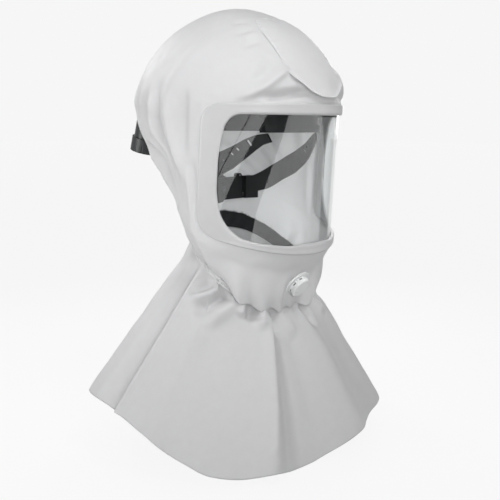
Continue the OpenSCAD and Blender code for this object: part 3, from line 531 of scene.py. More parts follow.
def soft_rubber(name, colour, dark, roughness, **shader):
    """Compression-moulded rubber: even and dull, with bloom in faint clouds and a fine skin."""
    made, tree, bsdf, place = material(name, colour, roughness, **shader)
    bloom = add(tree, "ShaderNodeTexNoise",
                {"Vector": place, "Scale": 1 / 7.0, "Detail": 4.0, "Roughness": 0.6})
    skin = add(tree, "ShaderNodeTexNoise", {"Vector": place, "Scale": 1 / 0.6, "Detail": 3.0})
    tint(tree, bsdf, bloom, colour, dark)
    gloss(tree, bsdf, bloom, roughness - 0.1, roughness + 0.1)
    relief(tree, bsdf, [(skin, 0.04, 0.5)])
    return made


def studio_sweep():
    """Seamless pale paper under the object: dead matt, with a breath of paper tooth. It glows
    evenly and takes little light, so that what falls on it stays faint."""
    made, tree, bsdf, place = material("matt_background_paper", "#F6F6F6", 0.95)
    clouds = add(tree, "ShaderNodeTexNoise", {"Vector": place, "Scale": 1 / 400.0, "Detail": 1.0})
    tooth = add(tree, "ShaderNodeTexNoise", {"Vector": place, "Scale": 1 / 1.5, "Detail": 3.0})
    tint(tree, bsdf, clouds, "#363636", "#343434")
    bsdf.inputs["Emission Color"].default_value = linear("#F6F6F6")
    bsdf.inputs["Emission Strength"].default_value = 0.965
    relief(tree, bsdf, [(tooth, 0.05, 0.1)])
    return made


# ---- Hood cloth ----
VALVE_LOW, VALVE_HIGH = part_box("valve_body")
VALVE_AT = np.array((VALVE_LOW + VALVE_HIGH) / 2) / MM
VALVE_OUT = np.array([0.0, -0.8232, -0.5677])  # square to the chin's slope
CUFF_LOW, CUFF_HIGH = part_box("inlet_cuff")
CUFF_RADIUS = (CUFF_HIGH.x - CUFF_LOW.x) / 2 / MM
CUFF_Z = (CUFF_HIGH.z + CUFF_LOW.z) / 2 / MM
CUFF_AT = np.array([0, 120.0, CUFF_Z])
CUFF_OUT = np.array([0, 1.0, 0])
CUFF_EASE = 0.4  # how much wider than the cuff its hole in the cloth is cut
VALVE_HOLE = 13.4  # radius of the hole that the valve's body goes through
# The cloth's opening for the window ends half-way under the band
HOLE_TURN = math.radians(71)
HOLE_TOP_T = WINDOW_TOP_T / 2
HOLE_FOOT_T = (WINDOW_FOOT_T + BAND_FOOT_T) / 2

# Folds of the hood's sides: spots of (degrees from the front, level), height, width, ends, lean
SIDE_FOLDS = [
    ([(-101, -0.22), (-103, 0.1), (-97, 0.3), (-90, 0.5)], -6.7, 5.5, 0.36, 0.4),
    ([(-112, -0.15), (-114, 0.12), (-108, 0.3), (-98, 0.55)], -5.9, 6.2, 0.36, 0.3),
    ([(-107, -0.2), (-108, 0.1), (-103, 0.33)], 4.4, 5.5, 0.36, 0.0),
    ([(-94, -0.25), (-95, 0.05), (-91, 0.3), (-86, 0.55)], 4.8, 7.0, 0.36, 0.0),
    ([(-84, -0.16), (-85, 0.1), (-84, 0.34)], -4.8, 7.0, 0.36, 0.3),
    ([(-79, 0.3), (-77, 0.5), (-76, 0.78)], -4.8, 3.5, 0.36, 0.5),
    ([(-84, 0.35), (-81, 0.55), (-79, 0.8)], 3.7, 4.7, 0.36, 0.0),
    ([(-124, 0.25), (-112, 0.42), (-98, 0.66)], -5.6, 5.5, 0.36, 0.3),
    ([(-134, 0.3), (-124, 0.45), (-108, 0.68)], 5.3, 6.2, 0.36, 0.0),
    ([(-146, 0.18), (-138, 0.4), (-120, 0.68)], -5.9, 7.0, 0.36, 0.3),
    ([(-128, -0.3), (-130, 0.0), (-136, 0.2)], -4.2, 9.4, 0.36, 0.0),
    ([(-72, -0.5), (-88, -0.25), (-96, -0.05)], 3.7, 12.5, 0.36, 0.0),
]
FAR_FOLDS = [
    ([(100, -0.2), (102, 0.12), (97, 0.34), (90, 0.52)], -5.6, 7.5, 0.42, 0.3),
    ([(93, -0.22), (92, 0.08), (89, 0.3), (85, 0.5)], 4.2, 7.5, 0.42, 0.0),
    ([(84, -0.1), (84, 0.16), (82, 0.4)], -4.0, 6.6, 0.42, -0.3),
    ([(79, 0.32), (78, 0.5), (77, 0.8)], -4.2, 4.6, 0.42, -0.4),
    ([(116, -0.12), (112, 0.2), (103, 0.45), (95, 0.6)], -5.3, 7.5, 0.42, 0.3),
    ([(109, -0.16), (107, 0.14), (101, 0.36)], 4.6, 6.6, 0.42, 0.0),
    ([(132, 0.22), (122, 0.44), (106, 0.68)], 5.0, 8.4, 0.42, 0.0),
    ([(142, 0.2), (134, 0.42), (118, 0.66)], -6.0, 7.5, 0.42, 0.3),
    ([(124, -0.34), (128, -0.05), (134, 0.16)], -4.2, 10.2, 0.42, 0.0),
]
BACK_FOLDS = [
    ([(-160, 0.3), (-162, 0.5), (-158, 0.75)], -4.2, 8.8, 0.42, 0.3),
    ([(-172, 0.26), (-173, 0.5), (-171, 0.8)], 3.0, 8.8, 0.42, 0.0),
    ([(163, 0.28), (164, 0.52), (160, 0.76)], -3.9, 8.8, 0.42, -0.3),
    ([(150, 0.3), (148, 0.55), (140, 0.8)], 3.2, 9.9, 0.42, 0.0),
    ([(178, -0.5), (160, -0.2), (150, 0.0)], -1.9, 15.4, 0.42, 0.0),
    ([(-165, -0.3), (-150, -0.08), (-146, 0.1)], 2.3, 14.3, 0.42, 0.0),
]
# The tuck on the brow, where the side cloth runs in under the flap
BROW_FOLDS = [
    ([(-58, -0.02), (-42, -0.1), (-31, -0.19), (-22, -0.26)], 5.6, 5.0, 0.3, -0.5),
    ([(-46, -0.035), (-33, -0.06), (-20, -0.085), (-9, -0.085), (2, -0.06)], -10.5, 6.0, 0.25, 0.3),
    ([(-36, -0.02), (-20, -0.035), (-6, -0.03)], 2.4, 4.0, 0.3, 0.0),
    ([(-50, -0.12), (-38, -0.22), (-33, -0.34)], -3.1, 7.0, 0.3, 0.0),
    ([(56, -0.02), (40, -0.1), (30, -0.2), (23, -0.28)], 4.3, 6.0, 0.3, 0.4),
    ([(42, -0.03), (28, -0.065), (16, -0.09), (4, -0.08)], -5.0, 7.0, 0.25, -0.3),
    ([(-37, -0.44), (-45, -0.42), (-55, -0.36)], -1.9, 3.6, 0.4, 0.4),
    ([(-36, -0.5), (-43, -0.5), (-50, -0.46)], 1.4, 3.6, 0.4, 0.0),
    ([(-39, -0.54), (-48, -0.53), (-60, -0.48)], -2.0, 4.2, 0.4, 0.4),
    ([(-40, -0.62), (-52, -0.62), (-62, -0.58)], -1.4, 4.5, 0.4, 0.4),
    ([(36, -0.42), (46, -0.4), (56, -0.33)], -1.9, 4.0, 0.4, 0.4),
    ([(37, -0.52), (48, -0.5), (58, -0.44)], -1.8, 4.4, 0.4, 0.4),
]


def gathers(turn):
    """Irregular ripples from -1 to 1 that the neck elastic draws round the neck."""
    turn = np.asarray(turn, float)
    shift = 0.55 * np.sin(3 * turn + 1.1) + 0.4 * np.sin(5 * turn + 0.4) + 0.3 * np.sin(8 * turn)
    tall = 0.7 + 0.3 * np.sin(4 * turn + 2.0)
    return tall * np.sin(19 * turn + 1.9 * shift)


def off_valve(points, near, far):
    """0 on the exhalation valve's seat, rising to 1 away from it."""
    away = points - VALVE_AT
    flat = away - (away @ VALVE_OUT)[..., None] * VALVE_OUT
    return smooth(np.linalg.norm(flat, axis=-1), near, far)


def off_band(turn, v):
    """0 under the window's band, rising to 1 away from its outer edge."""
    side = (np.abs(turn) - FACE_TURN) * FACE_RADIUS
    above = -v * CROWN_ARC
    under = (v - BAND_FOOT_T) * FACE_DROP
    return smooth(np.maximum(side, np.maximum(above, under)), 0.5, 11)


def hood_height(points, turn, v):
    """How far the folded cloth stands outside the smooth hood."""
    height = np.zeros(points.shape[:-1])
    for spots, tall, wide, ends, lean in SIDE_FOLDS + FAR_FOLDS + BACK_FOLDS + BROW_FOLDS:
        height += fold(points, traced(spots), tall, wide, ends, lean)
    height += 1.3 * waver(points, 42.0, 1) + 0.5 * waver(points, 15.0, 2)
    over_duct = smooth(np.abs(points[..., 0]), 22, 44) * 0.8 + 0.2
    inward = np.minimum(height, 0) * np.where(v < 0, over_duct, 1.0)
    height = np.maximum(height, 0) + inward
    behind = smooth(points[..., 1], 20, 50) * smooth(np.abs(points[..., 2] - CUFF_Z), 30, 38)
    seam_ridge = 0.9 * np.exp(-((points[..., 0] / 1.7) ** 2))
    height += seam_ridge * behind
    near_neck = smooth(v, 0.8, 1.0)
    height += 2.6 * gathers(turn) * near_neck**1.5
    return height * off_band(turn, v) * off_valve(points, near=19, far=30)


def blouse(points, turn, v):
    """Lets the cloth sag out over the neck elastic: over the whole casing at the chin, slightly behind."""
    s = np.clip((v - 0.82) / 0.18, 0, 1)
    chin = 1 - smooth(np.abs(turn), math.radians(46), math.radians(70))
    off_seat = off_valve(points, near=17, far=34)
    wave = 0.5 + 0.5 * gathers(turn)
    full = smooth(s, 0.0, 0.62) * (1 - smooth(s, 0.8, 1.0))
    out = (1.0 + (3.5 + 3.0 * wave) * chin) * off_seat * full
    drop = (1.0 + (15.5 + 5.0 * wave) * chin) * smooth(s, 0.1, 0.8) * (1 - smooth(s, 0.8, 1.0))
    moved = points.copy()
    moved[..., :2] += out[..., None] * unit(points[..., :2] - np.array([0, CROWN_CENTRE]))
    moved[..., 2] -= drop * mix(1.0, off_seat, 1 - s)
    return moved


def snap_hole(points, keep, centre, axis, radius, reach):
    """Opens a round hole in a grid: drops the cells inside and brings the rim to the circle."""
    away = points - centre
    flat = away - (away @ axis)[..., None] * axis
    d = np.linalg.norm(flat, axis=-1)
    near = np.abs(away @ axis) < reach
    inside = (d < radius) & near
    across = inside & np.roll(inside, -1, 1)
    gone = np.zeros_like(keep)
    gone[:-1] = across[:-1] & across[1:]
    kept = ~gone & keep
    used = kept | np.roll(kept, 1, 1)
    used[1:] |= used[:-1].copy()
    rim = inside & used
    points[rim] += (flat * (radius / np.maximum(d, 0.01) - 1)[..., None])[rim]
    keep &= ~gone


def build_hood(cloth):
    """One cloth for the hood's halves and the chin, open at the window, the cuff and the valve."""
    cols = 360
    turn_line = np.radians(np.arange(cols) - 180.0)
    top_rows = np.linspace(-1, 0, 84)
    side_rows = np.concatenate([
        np.linspace(0, HOLE_TOP_T, 4)[1:], np.linspace(HOLE_TOP_T, HOLE_FOOT_T, 84)[1:],
        np.linspace(HOLE_FOOT_T, 1, 64)[1:]])
    levels = np.concatenate([top_rows, side_rows])
    turn, v = np.meshgrid(turn_line, levels)
    base = hood(turn, v)
    out = grid_normals(base, True)
    points = base + out * hood_height(base, turn, v)[..., None]
    points = blouse(points, turn, v)
    keep = np.ones((len(levels), cols), bool)
    middle = (levels[:-1] + levels[1:]) / 2
    rows_in = (middle > HOLE_TOP_T) & (middle < HOLE_FOOT_T)
    middle_turn = np.abs(turn_line + math.radians(0.5))
    keep[:-1][np.ix_(rows_in, middle_turn < HOLE_TURN)] = False
    snap_hole(points, keep, CUFF_AT, CUFF_OUT, CUFF_RADIUS + CUFF_EASE, reach=40)
    snap_hole(points, keep, VALVE_AT, VALVE_OUT, VALVE_HOLE, reach=12)
    faces = grid_quads(len(levels), cols, True, keep)
    piece = make_piece("hood_cloth", points, faces, cloth, thick=CLOTH)
    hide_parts("hood_right", "hood_left", "chin_panel")
    return points, out, levels


# ---- Brow flap ----
FLAP_REAR, FLAP_EDGE = 0.33, 0.95  # from the top of the head, as shares of the crown's arc
FLAP_SEWN = 0.74  # the flap is sewn down at the sides as far as this, and free below it
flap_half = curve_through(
    [FLAP_REAR, 0.4, 0.48, 0.6, 0.74, 0.8, 0.845, 0.88, 0.91, 0.935, FLAP_EDGE],
    [27, 36, 42, 45, 45.5, 43.5, 38.5, 32, 25, 15, 5])


def build_flap(cloth):
    """Flap over the forehead: puckered where it is sewn, lifting where it is free."""
    rows, cols = 90, 80
    m, u = np.meshgrid(np.linspace(FLAP_REAR, FLAP_EDGE, rows), np.linspace(-1, 1, cols), indexing="ij")
    out = np.sin(math.pi / 2 * m) ** CROWN_POWER
    x = flap_half(m) * u
    turn = np.arcsin(np.clip(x * math.sin(FACE_TURN) / (out * EDGE_X), -1, 1))
    base = crown(turn, m)
    normal = grid_normals(base, False)
    to_side = flap_half(m) * (1 - np.abs(u))
    to_rear = (m - FLAP_REAR) * CROWN_ARC
    free = smooth(m, FLAP_SEWN, 0.87)
    lift = 0.95 + free * (1.4 + 3.6 * np.exp(-to_side / 9.0)) + 1.5 * smooth(m, 0.88, FLAP_EDGE)
    pucker = 0.45 * np.sin(m * 150 + 3 * np.sin(m * 31)) * np.exp(-to_side / 6.0) * (1 - free)
    rear_pucker = 0.4 * np.sin(x * 0.55 + 1.5 * np.sin(x * 0.13)) * np.exp(-to_rear / 7.0)
    billow = 1.0 * (1 + waver(base, 34.0, 5)) * smooth(to_side, 2, 16) * smooth(to_rear, 2, 16)
    wave = free * 0.9 * np.sin(x * 0.16 + 0.8)
    points = base + normal * (lift + pucker + rear_pucker + billow + wave)[..., None]
    faces = grid_quads(rows, cols, False)
    piece = make_piece("brow_flap_cloth", points, faces, cloth, thick=0.7)
    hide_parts("brow_flap")
    return points, normal


# ---- Visor band ----
def rounded_loop(half, top, foot, high, low, per_side=46, per_corner=16):
    """Closed loop round the unrolled face: places along the face and down it, in millimetres.

    high and low are the radii of its top and bottom corners."""
    loop = []
    spots = [(half - high, top + high, -90, high), (half - low, foot - low, 0, low),
             (-half + low, foot - low, 90, low), (-half + high, top + high, 180, high)]
    for k, (s, q, start, radius) in enumerate(spots):
        for step in range(per_corner):
            a = math.radians(start + 90 * step / per_corner)
            loop.append((s + radius * math.cos(a), q + radius * math.sin(a)))
        a = math.radians(start + 90)
        here = (s + radius * math.cos(a), q + radius * math.sin(a))
        s2, q2, start2, radius2 = spots[(k + 1) % 4]
        b = math.radians(start2)
        there = (s2 + radius2 * math.cos(b), q2 + radius2 * math.sin(b))
        for step in range(per_side):
            f = step / per_side
            loop.append((mix(here[0], there[0], f), mix(here[1], there[1], f)))
    return np.array(loop)


def window_loop():
    """The window's edge: bowed at the sides, with a foot that hangs a little towards them."""
    half = math.radians(65) * FACE_RADIUS
    loop = rounded_loop(half, WINDOW_TOP_T * FACE_DROP, WINDOW_FOOT_T * FACE_DROP, high=17, low=24)
    turn, t = np.degrees(loop[:, 0] / FACE_RADIUS), loop[:, 1] / FACE_DROP
    bow = curve_through([0.04, 0.08, 0.14, 0.22, 0.33, 0.45, 0.54, 0.59, 0.66, 0.71],
                        [0.94, 0.945, 0.965, 0.985, 1, 1, 0.985, 0.965, 0.94, 0.93])
    hang = curve_through([0, 9, 21.5, 35, 43.5, 51.5, 60, 66], [0, 0, 0.011, 0.0146, 0.016, 0.014, 0.004, 0])
    t = t + hang(np.abs(turn)) * smooth(t, 0.5, 0.69)
    return np.stack([np.radians(turn * bow(t)) * FACE_RADIUS, t * FACE_DROP], -1)


INNER_LOOP = window_loop()
OUTER_LOOP = rounded_loop(FACE_TURN * FACE_RADIUS, 0.0, BAND_FOOT_T * FACE_DROP, high=20, low=24)


def on_face(loop, off):
    """Points outside the face for places on its unrolled surface."""
    turn, t = loop[..., 0] / FACE_RADIUS, loop[..., 1] / FACE_DROP
    flat = below(turn, np.maximum(t, 0))
    normal = np.stack([np.sin(turn), -np.cos(turn), np.zeros_like(turn)], -1)
    return flat + normal * np.asarray(off)[..., None]


def build_band(tape):
    """Tape round the window, curled in over the lens and rising proud of the hood."""
    # Spots of (share of the way from the window's edge to the band's outer edge, height)
    profile = [(-0.03, -2.0), (-0.06, -1.0), (-0.04, 0.2), (0.03, 1.1), (0.12, 1.55), (0.26, 1.5),
               (0.42, 1.3), (0.58, 1.25), (0.72, 1.35), (0.84, 1.35), (0.93, 1.0), (0.99, 0.3)]
    share, height = two_curves(profile)
    k = np.linspace(0, len(profile) - 1, 26)
    grid = []
    aside = smooth(np.abs(OUTER_LOOP[:, 0]) / FACE_RADIUS, math.radians(46), math.radians(66))
    at_foot = smooth(OUTER_LOOP[:, 1] / FACE_DROP, 0.6, 0.7)
    proud = mix(mix(0.8, 0.75, at_foot), 0.3, aside)
    for a, h in zip(share(k), height(k)):
        loop = mix(INNER_LOOP, OUTER_LOOP, a)
        grid.append(on_face(loop, np.where(h > 0, h * proud, h)))
    points = np.array(grid)
    sway = smooth(k, 4, 10)[:, None] * 0.25 * waver(points, 20.0, 8)
    points = points + sway[..., None] * unit(points - points.mean((0, 1)))
    faces = grid_quads(points.shape[0], points.shape[1], True)
    piece = make_piece("visor_band_tape", points, faces, tape, thick=0.8, subdivide=1)
    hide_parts("visor_frame")


# ---- Neck casing and seal ----
def build_casing(cloth):
    """Gathered tunnel round the neck that the elastic runs in."""
    cols = 480
    turn_line = np.linspace(-math.pi, math.pi, cols, endpoint=False)
    # Spots of (outwards from the neck, upwards from its edge)
    profile = [(-1.6, 0.2), (-0.2, 0.5), (1.2, 0.3), (2.6, -0.8), (3.2, -2.2), (2.9, -3.6), (1.9, -4.6),
               (2.9, -5.6), (3.3, -7.0), (2.6, -8.4), (1.2, -9.2), (-0.4, -9.5), (-1.8, -9.3)]
    out, rise = two_curves(profile)
    k = np.linspace(0, len(profile) - 1, 30)
    turn, kk = np.meshgrid(turn_line, k)
    ripple = gathers(turn) * 0.6 + 0.6 * np.sin(61 * turn + 3 * np.sin(5 * turn))
    swell = out(kk) + 0.75 * ripple * smooth(out(kk), -0.5, 2.0)
    x, y = outline(turn, np.ones_like(turn), 0.0)
    flat = unit(np.stack([x, y], -1))
    z = neck_height(turn) + rise(kk) + 0.5 * ripple
    points = np.concatenate([np.stack([x, y], -1) + swell[..., None] * flat, z[..., None]], -1)
    faces = grid_quads(len(k), cols, True)
    piece = make_piece("neck_casing_cloth", points, faces, cloth, thick=0.5)
    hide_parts("neck_casing")


def build_seal(knit):
    """Knitted collar that stands up inside the neck, higher at the nape than in front."""
    cols = 360
    turn_line = np.linspace(-math.pi, math.pi, cols, endpoint=False)
    k = np.linspace(0, 1, 26)
    turn, kk = np.meshgrid(turn_line, k)
    rear = smooth(np.abs(turn), math.radians(78), math.radians(150))
    inward = -3.1 - mix(2.4, 6.0, rear) * kk - 1.2 * np.sin(math.pi * kk)
    x, y = outline(turn, np.ones_like(turn), 0.0)
    flat = unit(np.stack([x, y], -1))
    scallop = 0.35 * np.sin(13 * turn + 1.3) + 0.25 * np.sin(29 * turn)
    z = neck_height(turn) + mix(mix(-17.0, -8.0, rear), mix(5.0, 12.0, rear), kk) + scallop * kk
    slack = 0.5 * np.sin(23 * turn + 2 * kk) * np.sin(math.pi * kk)
    points = np.concatenate([np.stack([x, y], -1) + (inward + slack)[..., None] * flat, z[..., None]], -1)
    faces = grid_quads(len(k), cols, True)
    piece = make_piece("neck_seal_knit", points, faces, knit, thick=1.4)
    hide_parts("neck_seal")
    fringe = build_fringe(points[-1], flat[-1], knit)


FRINGE_ENDS = 1500
FRINGE_SINK = 0.5  # how deep each end's root goes into the knit


def build_fringe(edge, outward, knit):
    """Cut loop ends that stand up along the seal's top edge, three-sided and thinner at the tip."""
    rng = np.random.default_rng(11)
    points, faces = [], []
    for _ in range(FRINGE_ENDS):
        f = rng.random() * len(edge)
        j = int(f) % len(edge)
        root = mix(edge[j], edge[(j + 1) % len(edge)], f - int(f))
        along = edge[(j + 1) % len(edge)] - edge[j]
        along = along / np.linalg.norm(along)
        out = np.array([outward[j][0], outward[j][1], 0.0])
        root = root + out * (-rng.random() * 1.3)
        tall = 0.9 + 2.4 * rng.random() ** 1.6
        lean = along * rng.normal(0, 0.55) + out * rng.normal(0.0, 0.35) + np.array([0, 0, 1.0])
        lean = lean / np.linalg.norm(lean)
        bend = along * rng.normal(0, 0.5)
        wide = 0.16 + 0.12 * rng.random()
        base = len(points)
        for k, share in enumerate((0.0, 0.55, 1.0)):
            at = root + lean * tall * share + bend * share * share
            thin = wide * (1 - 0.85 * share)
            sunk = np.array([0, 0, FRINGE_SINK * (k == 0)])
            for a in (0, 2.094, 4.189):  # thirds of a turn
                points.append(at + thin * (math.cos(a) * along + math.sin(a) * out) - sunk)
        for k in (0, 3):
            for a in range(3):
                b = (a + 1) % 3
                faces.append((base + k + a, base + k + b, base + k + 3 + b, base + k + 3 + a))
        faces.append((base + 6, base + 7, base + 8))
        faces.append((base + 2, base + 1, base))
    return make_piece("seal_fringe", points, faces, knit)


# ---- Cape ----
# Height of the long waves, in millimetres, by degrees from the front
FRONT_WAVE = curve_through(
    [-180, -98, -90, -80, -62, -44, -31, -27, -21, -13, -6, 3, 12, 22, 34, 50, 66, 80, 92, 98, 180],
    [0, 2, 8, 5, -6, 0, 10, 14, 1, -11, -11, 5, 13, 4, -1, 9.0, -5, 2, 5, 1, 0])
BACK_WAVE = curve_through(
    [0, 78, 90, 98, 108, 120, 134, 150, 164, 180, 196, 210, 224, 239, 248, 256, 264, 271, 282, 360],
    [0, -7, -10, -9, 6, 12, 1, -9, 5, 10, 2, -9, -2, 12, 10, -2, -10, -10, -7, 0])
# How far down its slope the hem reaches, by degrees from the front
HEM_REACH = curve_through(
    [-180, -150, -124, -105, -92, -80, -71, -60, -50, -38, -25, -12, 0, 21, 46, 70, 92, 124, 180],
    [1, 0.97, 0.915, 0.875, 0.87, 0.9, 0.945, 1.0, 1.06, 1.085, 1.085, 1.075, 1.04, 1.0, 1.04, 1.01,
     0.97, 0.98, 1])
CAPE_LONG = 170  # from the neck down the cape's slope to the hem
# Small folds that run down from the neck of the front: spots of (degrees, share of the way down)
NECK_FOLDS = [
    ([(-60, 0.0), (-70, 0.1), (-82, 0.24)], -9.4, 8.1, 0.25, 0.3),
    ([(-68, 0.0), (-79, 0.1), (-88, 0.2)], 7.5, 7.5, 0.3, 0.0),
    ([(-74, 0.0), (-84, 0.09), (-92, 0.16)], -7.5, 6.2, 0.3, 0.0),
    ([(-51, 0.0), (-60, 0.11), (-72, 0.27)], 6.8, 8.8, 0.3, 0.0),
    ([(-38, 0.0), (-38, 0.06), (-37, 0.13)], -9.4, 7.5, 0.3, 0.0),
    ([(-31, 0.0), (-32, 0.08), (-33, 0.2)], 6.5, 6.2, 0.3, 0.0),
    ([(-45, 0.0), (-46, 0.06), (-48, 0.12)], 6.0, 6.2, 0.3, 0.0),
    ([(-17, 0.0), (-17, 0.1), (-15, 0.22)], -6.5, 6.9, 0.3, 0.0),
    ([(-6, 0.0), (-5, 0.1), (-4, 0.26)], 6.5, 7.5, 0.3, 0.0),
    ([(16, 0.0), (18, 0.1), (20, 0.24)], -7.5, 7.5, 0.3, 0.0),
    ([(32, 0.0), (36, 0.1), (40, 0.24)], 7.5, 8.8, 0.3, 0.0),
    ([(48, 0.0), (56, 0.1), (66, 0.26)], -9.4, 8.8, 0.3, 0.0),
    ([(64, 0.0), (72, 0.1), (80, 0.22)], 7.5, 7.5, 0.3, 0.0),
    ([(76, 0.0), (84, 0.1), (90, 0.2)], -7.5, 7.5, 0.3, 0.0),
]


def cape_height(base, turn, c, wave, small):
    """How far the folded cape stands outside its smooth shape."""
    degrees = np.degrees(turn)
    height = wave(degrees + 3.0 * c) * mix(0.3, 1.0, np.clip(c, 0, 1) ** 0.8)
    if small:  # the front has a sharp crease too, from its neck slightly sideways to the hem
        crease = 4.6 * np.exp(-np.abs(degrees + mix(24.5, 30.0, c)) / 3.2) * smooth(c, 0.02, 0.12)
        height += crease * smooth(1 - c, 0.0, 0.1)
    for spots, tall, wide, ends, lean in small:
        turns, shares = two_curves(spots)
        k = np.linspace(-0.2, len(spots) - 1, 6)
        path = cape_at(np.radians(turns(k)), shares(k))
        height += fold(base, path, tall, wide, ends, lean) * smooth(c, -0.2, 0.02)
    height += 1.5 * gathers(turn) * (1 - smooth(c, 0.0, 0.16))
    height += 1.6 * waver(base, 70.0, 21) + 0.7 * waver(base, 26.0, 22)
    return np.where(height < 0, height * smooth(c, 0.0, 0.05), height)


def build_cape(name, node, low, high, wave, small, shift, cloth):
    """One half of the cape, between two turns in degrees; the front laps over the back."""
    rows, cols = 130, 300
    turn_line = np.radians(np.linspace(low, high, cols))
    c_line = np.linspace(0, 1, rows) ** 1.15
    turn, c = np.meshgrid(turn_line, c_line)
    wrapped = np.where(turn > math.pi, turn - 2 * math.pi, turn)
    c = c * HEM_REACH(np.degrees(wrapped))
    base = cape_at(wrapped, c)
    normal = grid_normals(base, False)
    wave_turn = turn if name == "cape_back_cloth" else wrapped
    height = cape_height(base, wave_turn, c, wave, small)
    edge = np.minimum(turn - turn_line[0], turn_line[-1] - turn)
    to_edge = edge * np.linalg.norm(base[..., :2], axis=-1)
    height += shift * smooth(c, 0.0, 0.12)
    if small:
        height -= 3.5 * np.exp(-to_edge / 3.0) * smooth(c, 0.02, 0.15)
        height += 3.0 * np.exp(-((to_edge - 9.0) / 7.0) ** 2) * smooth(c, 0.02, 0.2)
    points = base + normal * height[..., None]
    hem_roll = np.exp(-(1 - c_line[:, None]) * CAPE_LONG / 4.0)
    points = points - normal * (0.9 * hem_roll)[..., None]
    points[..., 2] += (c**3) * 2.0 * np.sin(wave_turn * 3 + 1.0)
    tucked = 1 - smooth(c, 0.0, 0.03)
    points[..., 2] += 3.5 * tucked
    points[..., :2] *= (1 - 0.02 * tucked)[..., None]
    faces = grid_quads(rows, cols, False)
    piece = make_piece(name, points, faces, cloth, thick=CLOTH)
    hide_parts(node)


# ---- Seams ----
# One stitch: spots of (share of its length, thickness and height as shares of the thread's radius)
STITCH_SPOTS = [(0.0, 0.5, -0.7), (0.12, 0.95, 0.25), (0.5, 1.05, 0.5), (0.88, 0.95, 0.25), (1.0, 0.5, -0.7)]
SEAM_PROUD = 0.1  # from the cloth out to the stitches' path


def build_stitches(name, path, outward, thread, pitch=3.2, length=2.3, radius=0.22):
    """Row of lockstitches along a path, each sunk a little at its ends."""
    path, outward = np.asarray(path), np.asarray(outward)
    gaps = np.linalg.norm(np.diff(path, axis=0), axis=1)
    run = np.concatenate([[0], np.cumsum(gaps)])
    at = [curve_through(run, path[:, k]) for k in range(3)]
    out = [curve_through(run, outward[:, k]) for k in range(3)]
    points, faces = [], []
    sides = 6
    for i in range(int(run[-1] / pitch)):
        start = (i + 0.15) * pitch
        base = len(points)
        for share, wide, tall in STITCH_SPOTS:
            s = start + share * length
            here = np.array([f(s) for f in at], float)
            ahead = unit(np.array([f(s + 0.3) for f in at], float) - here)
            side = unit(np.cross(ahead, np.array([f(s) for f in out], float)))
            up = np.cross(side, ahead)
            thick, raise_by = radius * wide, radius * tall
            for a in range(sides):
                t = 2 * math.pi * a / sides
                points.append(here + up * (raise_by + thick * math.sin(t)) + side * (thick * math.cos(t)))
        last = len(STITCH_SPOTS) - 1
        for k in range(last):
            for a in range(sides):
                b = (a + 1) % sides
                lo, hi = base + k * sides, base + (k + 1) * sides
                faces.append((lo + a, lo + b, hi + b, hi + a))
        faces.append(tuple(base + a for a in reversed(range(sides))))
        faces.append(tuple(base + last * sides + a for a in range(sides)))
    return make_piece(name, points, faces, thread)


def flap_seams(points, normal, thread):
    """Stitches up both sides of the flap, as far as it is sewn, and across its rear."""
    inset, rear = 3, 2
    sewn = int(len(points) * 0.7)
    lines = {
        "flap_stitches_right": np.s_[inset:sewn, inset],
        "flap_stitches_left": np.s_[inset:sewn, -1 - inset],
        "flap_stitches_top": np.s_[rear, inset:-inset],
    }
    for name, line in lines.items():
        build_stitches(name, points[line] + normal[line] * SEAM_PROUD, normal[line], thread)


def hood_seam(points, out, levels, thread):
    """Two rows of stitches down the back, on either side of the seam that joins the hood's halves."""
    for name, low, high in (("back_stitches_high", -0.7, -0.02), ("back_stitches_low", 0.36, 0.86)):
        rows = (levels > low) & (levels < high)
        for side, column in (("right", 3), ("left", -3)):
            path = points[rows, column] + out[rows, column] * SEAM_PROUD
            build_stitches(name + "_" + side, path, out[rows, column], thread)


# ---- Everything together ----
def finish_nodes(finishes):
    """Gives every carried-over CAD node the finish of its material slot."""
    for row in frame["record"]["subparts"]:
        node = frame["nodes"][row["node"]]
        for k in range(max(1, len(node.material_slots))):
            if not node.material_slots:
                node.data.materials.append(finishes[row["material_slot"]])
            node.material_slots[k].material = finishes[row["material_slot"]]


CAMERA_TURN = math.radians(-50)  # to the wearer's right of straight ahead
CAMERA_PITCH = math.radians(8.7)
CAMERA_FAR = 1.0  # in metres
CAMERA_SHIFT = 0.019  # sideways, as a share of the picture's width


def build_camera():
    """Stands at brow height, before the wearer's right side, and looks slightly down."""
    data = bpy.data.cameras.new("camera")
    data.lens = 60
    data.sensor_width = 36
    data.shift_x = CAMERA_SHIFT
    data.clip_start = 0.05
    data.clip_end = 50
    camera = new_object("camera", data)
    bpy.context.scene.camera = camera
    pitch = CAMERA_PITCH
    toward = Vector((math.sin(CAMERA_TURN), -math.cos(CAMERA_TURN), 0))
    camera.location = toward * CAMERA_FAR
    look = Vector((-toward.x * math.cos(pitch), -toward.y * math.cos(pitch), -math.sin(pitch)))
    camera.rotation_mode = "QUATERNION"
    camera.rotation_quaternion = look.to_track_quat("-Z", "Y")


def build_light(name, turn, tilt, far, size, power, spread, aim):
    """Soft box behind a honeycomb grid that keeps its light off what is far from the aim.

    It stands at a turn and a tilt in degrees from the aim, far metres away."""
    data = bpy.data.lights.new(name, "AREA")
    data.spread = math.radians(spread)
    data.shape = "RECTANGLE"
    data.size, data.size_y = size
    data.energy = power
    light = new_object(name, data)
    a, e = math.radians(turn), math.radians(tilt)
    back = Vector((math.sin(a) * math.cos(e), -math.cos(a) * math.cos(e), math.sin(e)))
    light.location = Vector(aim) + back * far
    light.rotation_mode = "QUATERNION"
    light.rotation_quaternion = (-back).to_track_quat("-Z", "Y")


